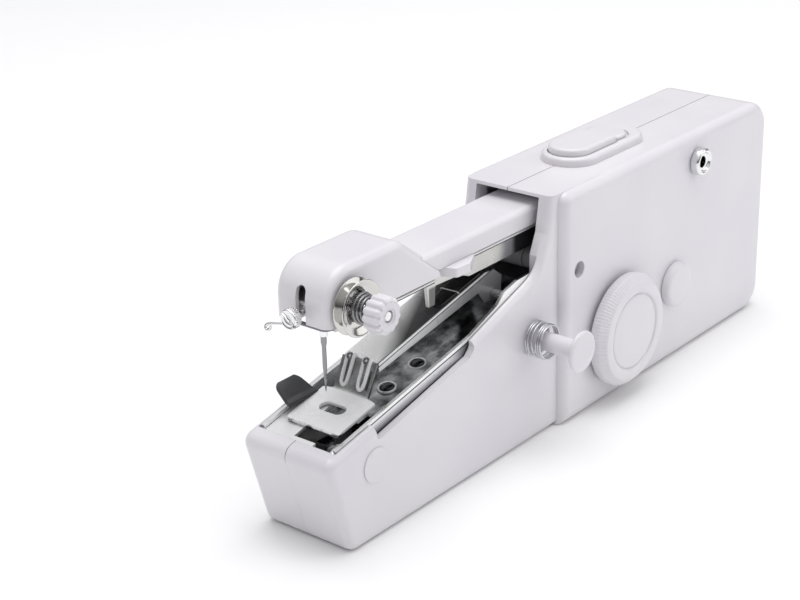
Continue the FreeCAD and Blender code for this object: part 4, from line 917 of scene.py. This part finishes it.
def arm_beads():
    """Plated beads with a painted sheen on both sides of the needle arm below its two covers, each between
    two dark strips painted as shadow lines.
    """
    low, high = corners("arm_frame")
    head_low, head_high = corners("head_cover")
    guide_rear = corners("thread_guide")[1].x
    under_arm, under_head = corners("arm_cover")[0].z - 0.45, head_low.z - 0.75
    spans = ((guide_rear + 0.6, 1.5, under_arm), (-76, head_high.x - 0.4, under_head))
    for side, label, wall in ((-1, "near", low.y), (1, "far", high.y)):
        for number, (start, end, top) in enumerate(spans, start=1):
            begin = start if side < 0 or number == 2 else head_high.x + 0.6
            level, proud = top - 0.72, wall + 0.15 * side
            route = [(begin, wall, level), (begin + 0.4, proud, level), (end - 0.4, proud, level),
                     (end, wall, level)]
            bead = wire(f"arm_bead_{label}_{number}", "bright_trim", [route], 0.32)
            added(bead, HOME["arm_frame"])
            # Dark strips above and below each bead: painted shadow lines.
            shadows = ((top - 1.35, top - 0.98), (top - 0.45, top))
            for line, (line_low, line_high) in enumerate(shadows, start=1):
                box = [(begin, line_low), (end, line_low), (end, line_high), (begin, line_high)]
                shadow_strip = prism(f"arm_gap_{label}_{number}_{line}", "black_plastic", box, 0, 0.12,
                            lambda x, z, out: (x, wall + side * out, z))
                added(shadow_strip, HOME["arm_frame"])


def head_lip():
    """Metal edge that shows below the front of the head cover, in dark steel as painted shade under the
    cover.
    """
    low, high = corners("head_cover")
    front, rear, reach, level = low.x + 1, -77, high.y - 1.5, low.z - 0.5
    route = rounded([(rear, -reach, level), (front, -reach, level), (front, reach, level),
                     (rear, reach, level)], 2.2, 6)
    added(wire("head_lip_wire", "dark_steel", [route], 0.55), HOME["arm_frame"])


def build_pieces():
    for make in (hand_wheel, tension_knob, tension_stud, tension_discs, tension_spring, spool_pin,
                 spool_spring, side_cap, jack_bushing, shell_screws, frame_rivets, needle, needle_screw,
                 thread_hook, presser_foot, riser_loops, presser_pad, presser_tab, front_eyelet, arm_beads,
                 head_lip):
        make()


# ---------------------------------------------------------------- stage, light and camera

FLOOR_SIZE, FLOOR_LEVEL = 12, -0.0001


def stage_floor():
    n = Nodes("floor")
    n.paint(n.mix(n.noise(3, 2), colour(0.93, 0.93, 0.93), colour(0.95, 0.95, 0.95)))
    n.feed(n.shader, {"Roughness": 0.9})
    bpy.ops.mesh.primitive_plane_add(size=FLOOR_SIZE, location=(0, 0, FLOOR_LEVEL))
    floor = bpy.context.object
    floor.name = "studio_floor"
    floor.data.materials.append(n.material)


def softbox(name, spot, target, width, height, watts):
    light = bpy.data.lights.new(name, "AREA")
    light.shape = "RECTANGLE"
    light.size = width
    light.size_y = height
    light.energy = watts
    item = bpy.data.objects.new(name, light)
    item.location = spot
    item.rotation_euler = (Vector(target) - Vector(spot)).to_track_quat("-Z", "Y").to_euler()
    bpy.context.collection.objects.link(item)


def lights():
    middle = (0.0, 0.0, 0.03)
    softbox("key", (0.42, -0.5, 0.32), middle, 0.45, 0.45, 0.75)
    softbox("top", (0.05, 0.05, 1.1), middle, 0.9, 0.9, 6.7)
    studio_world()


def studio_world():
    """White surroundings that darken towards the horizon, so that the metal has something dark to reflect."""
    world = bpy.data.worlds.new("studio")
    world.use_nodes = True
    tree = world.node_tree
    background = tree.nodes["Background"]
    place = tree.nodes.new("ShaderNodeTexCoord")
    split = tree.nodes.new("ShaderNodeSeparateXYZ")
    ramp = tree.nodes.new("ShaderNodeValToRGB")
    tree.links.new(place.outputs["Generated"], split.inputs["Vector"])
    tree.links.new(split.outputs["Z"], ramp.inputs["Fac"])
    tree.links.new(ramp.outputs["Color"], background.inputs["Color"])
    stops = ramp.color_ramp.elements
    stops[0].position, stops[0].color = 0.0, (0.1, 0.1, 0.11, 1)
    stops[1].position, stops[1].color = 0.8, (0.88, 0.88, 0.9, 1)
    for position, level in ((0.2, 0.25), (0.5, 0.68)):
        stops.new(position).color = (level, level, level * 1.02, 1)
    background.inputs["Strength"].default_value = 0.9
    bpy.context.scene.world = world


def camera():
    """Camera at the viewing angle of the product shot: from the needle end, above, on the hand wheel side."""
    place = Vector((-365.57, -266.12, 225.38)) * MM
    yaw, pitch, roll = 0.872, 0.399, -0.029
    forward = Vector((math.sin(yaw) * math.cos(pitch), math.cos(yaw) * math.cos(pitch), -math.sin(pitch)))
    level = Vector((math.cos(yaw), -math.sin(yaw), 0))
    above = level.cross(forward)
    right = level * math.cos(roll) + above * math.sin(roll)
    up = above * math.cos(roll) - level * math.sin(roll)
    data = bpy.data.cameras.new("camera")
    data.lens = 79.7
    data.sensor_width = 36
    data.clip_start = 0.01
    item = bpy.data.objects.new("camera", data)
    turn = Matrix((right, up, -forward)).transposed()
    item.matrix_world = Matrix.Translation(place) @ turn.to_4x4()
    bpy.context.collection.objects.link(item)
    bpy.context.scene.camera = item


dress_nodes()
build_pieces()
stage_floor()
lights()
camera()
bpy.context.scene.view_settings.view_transform = "Standard"
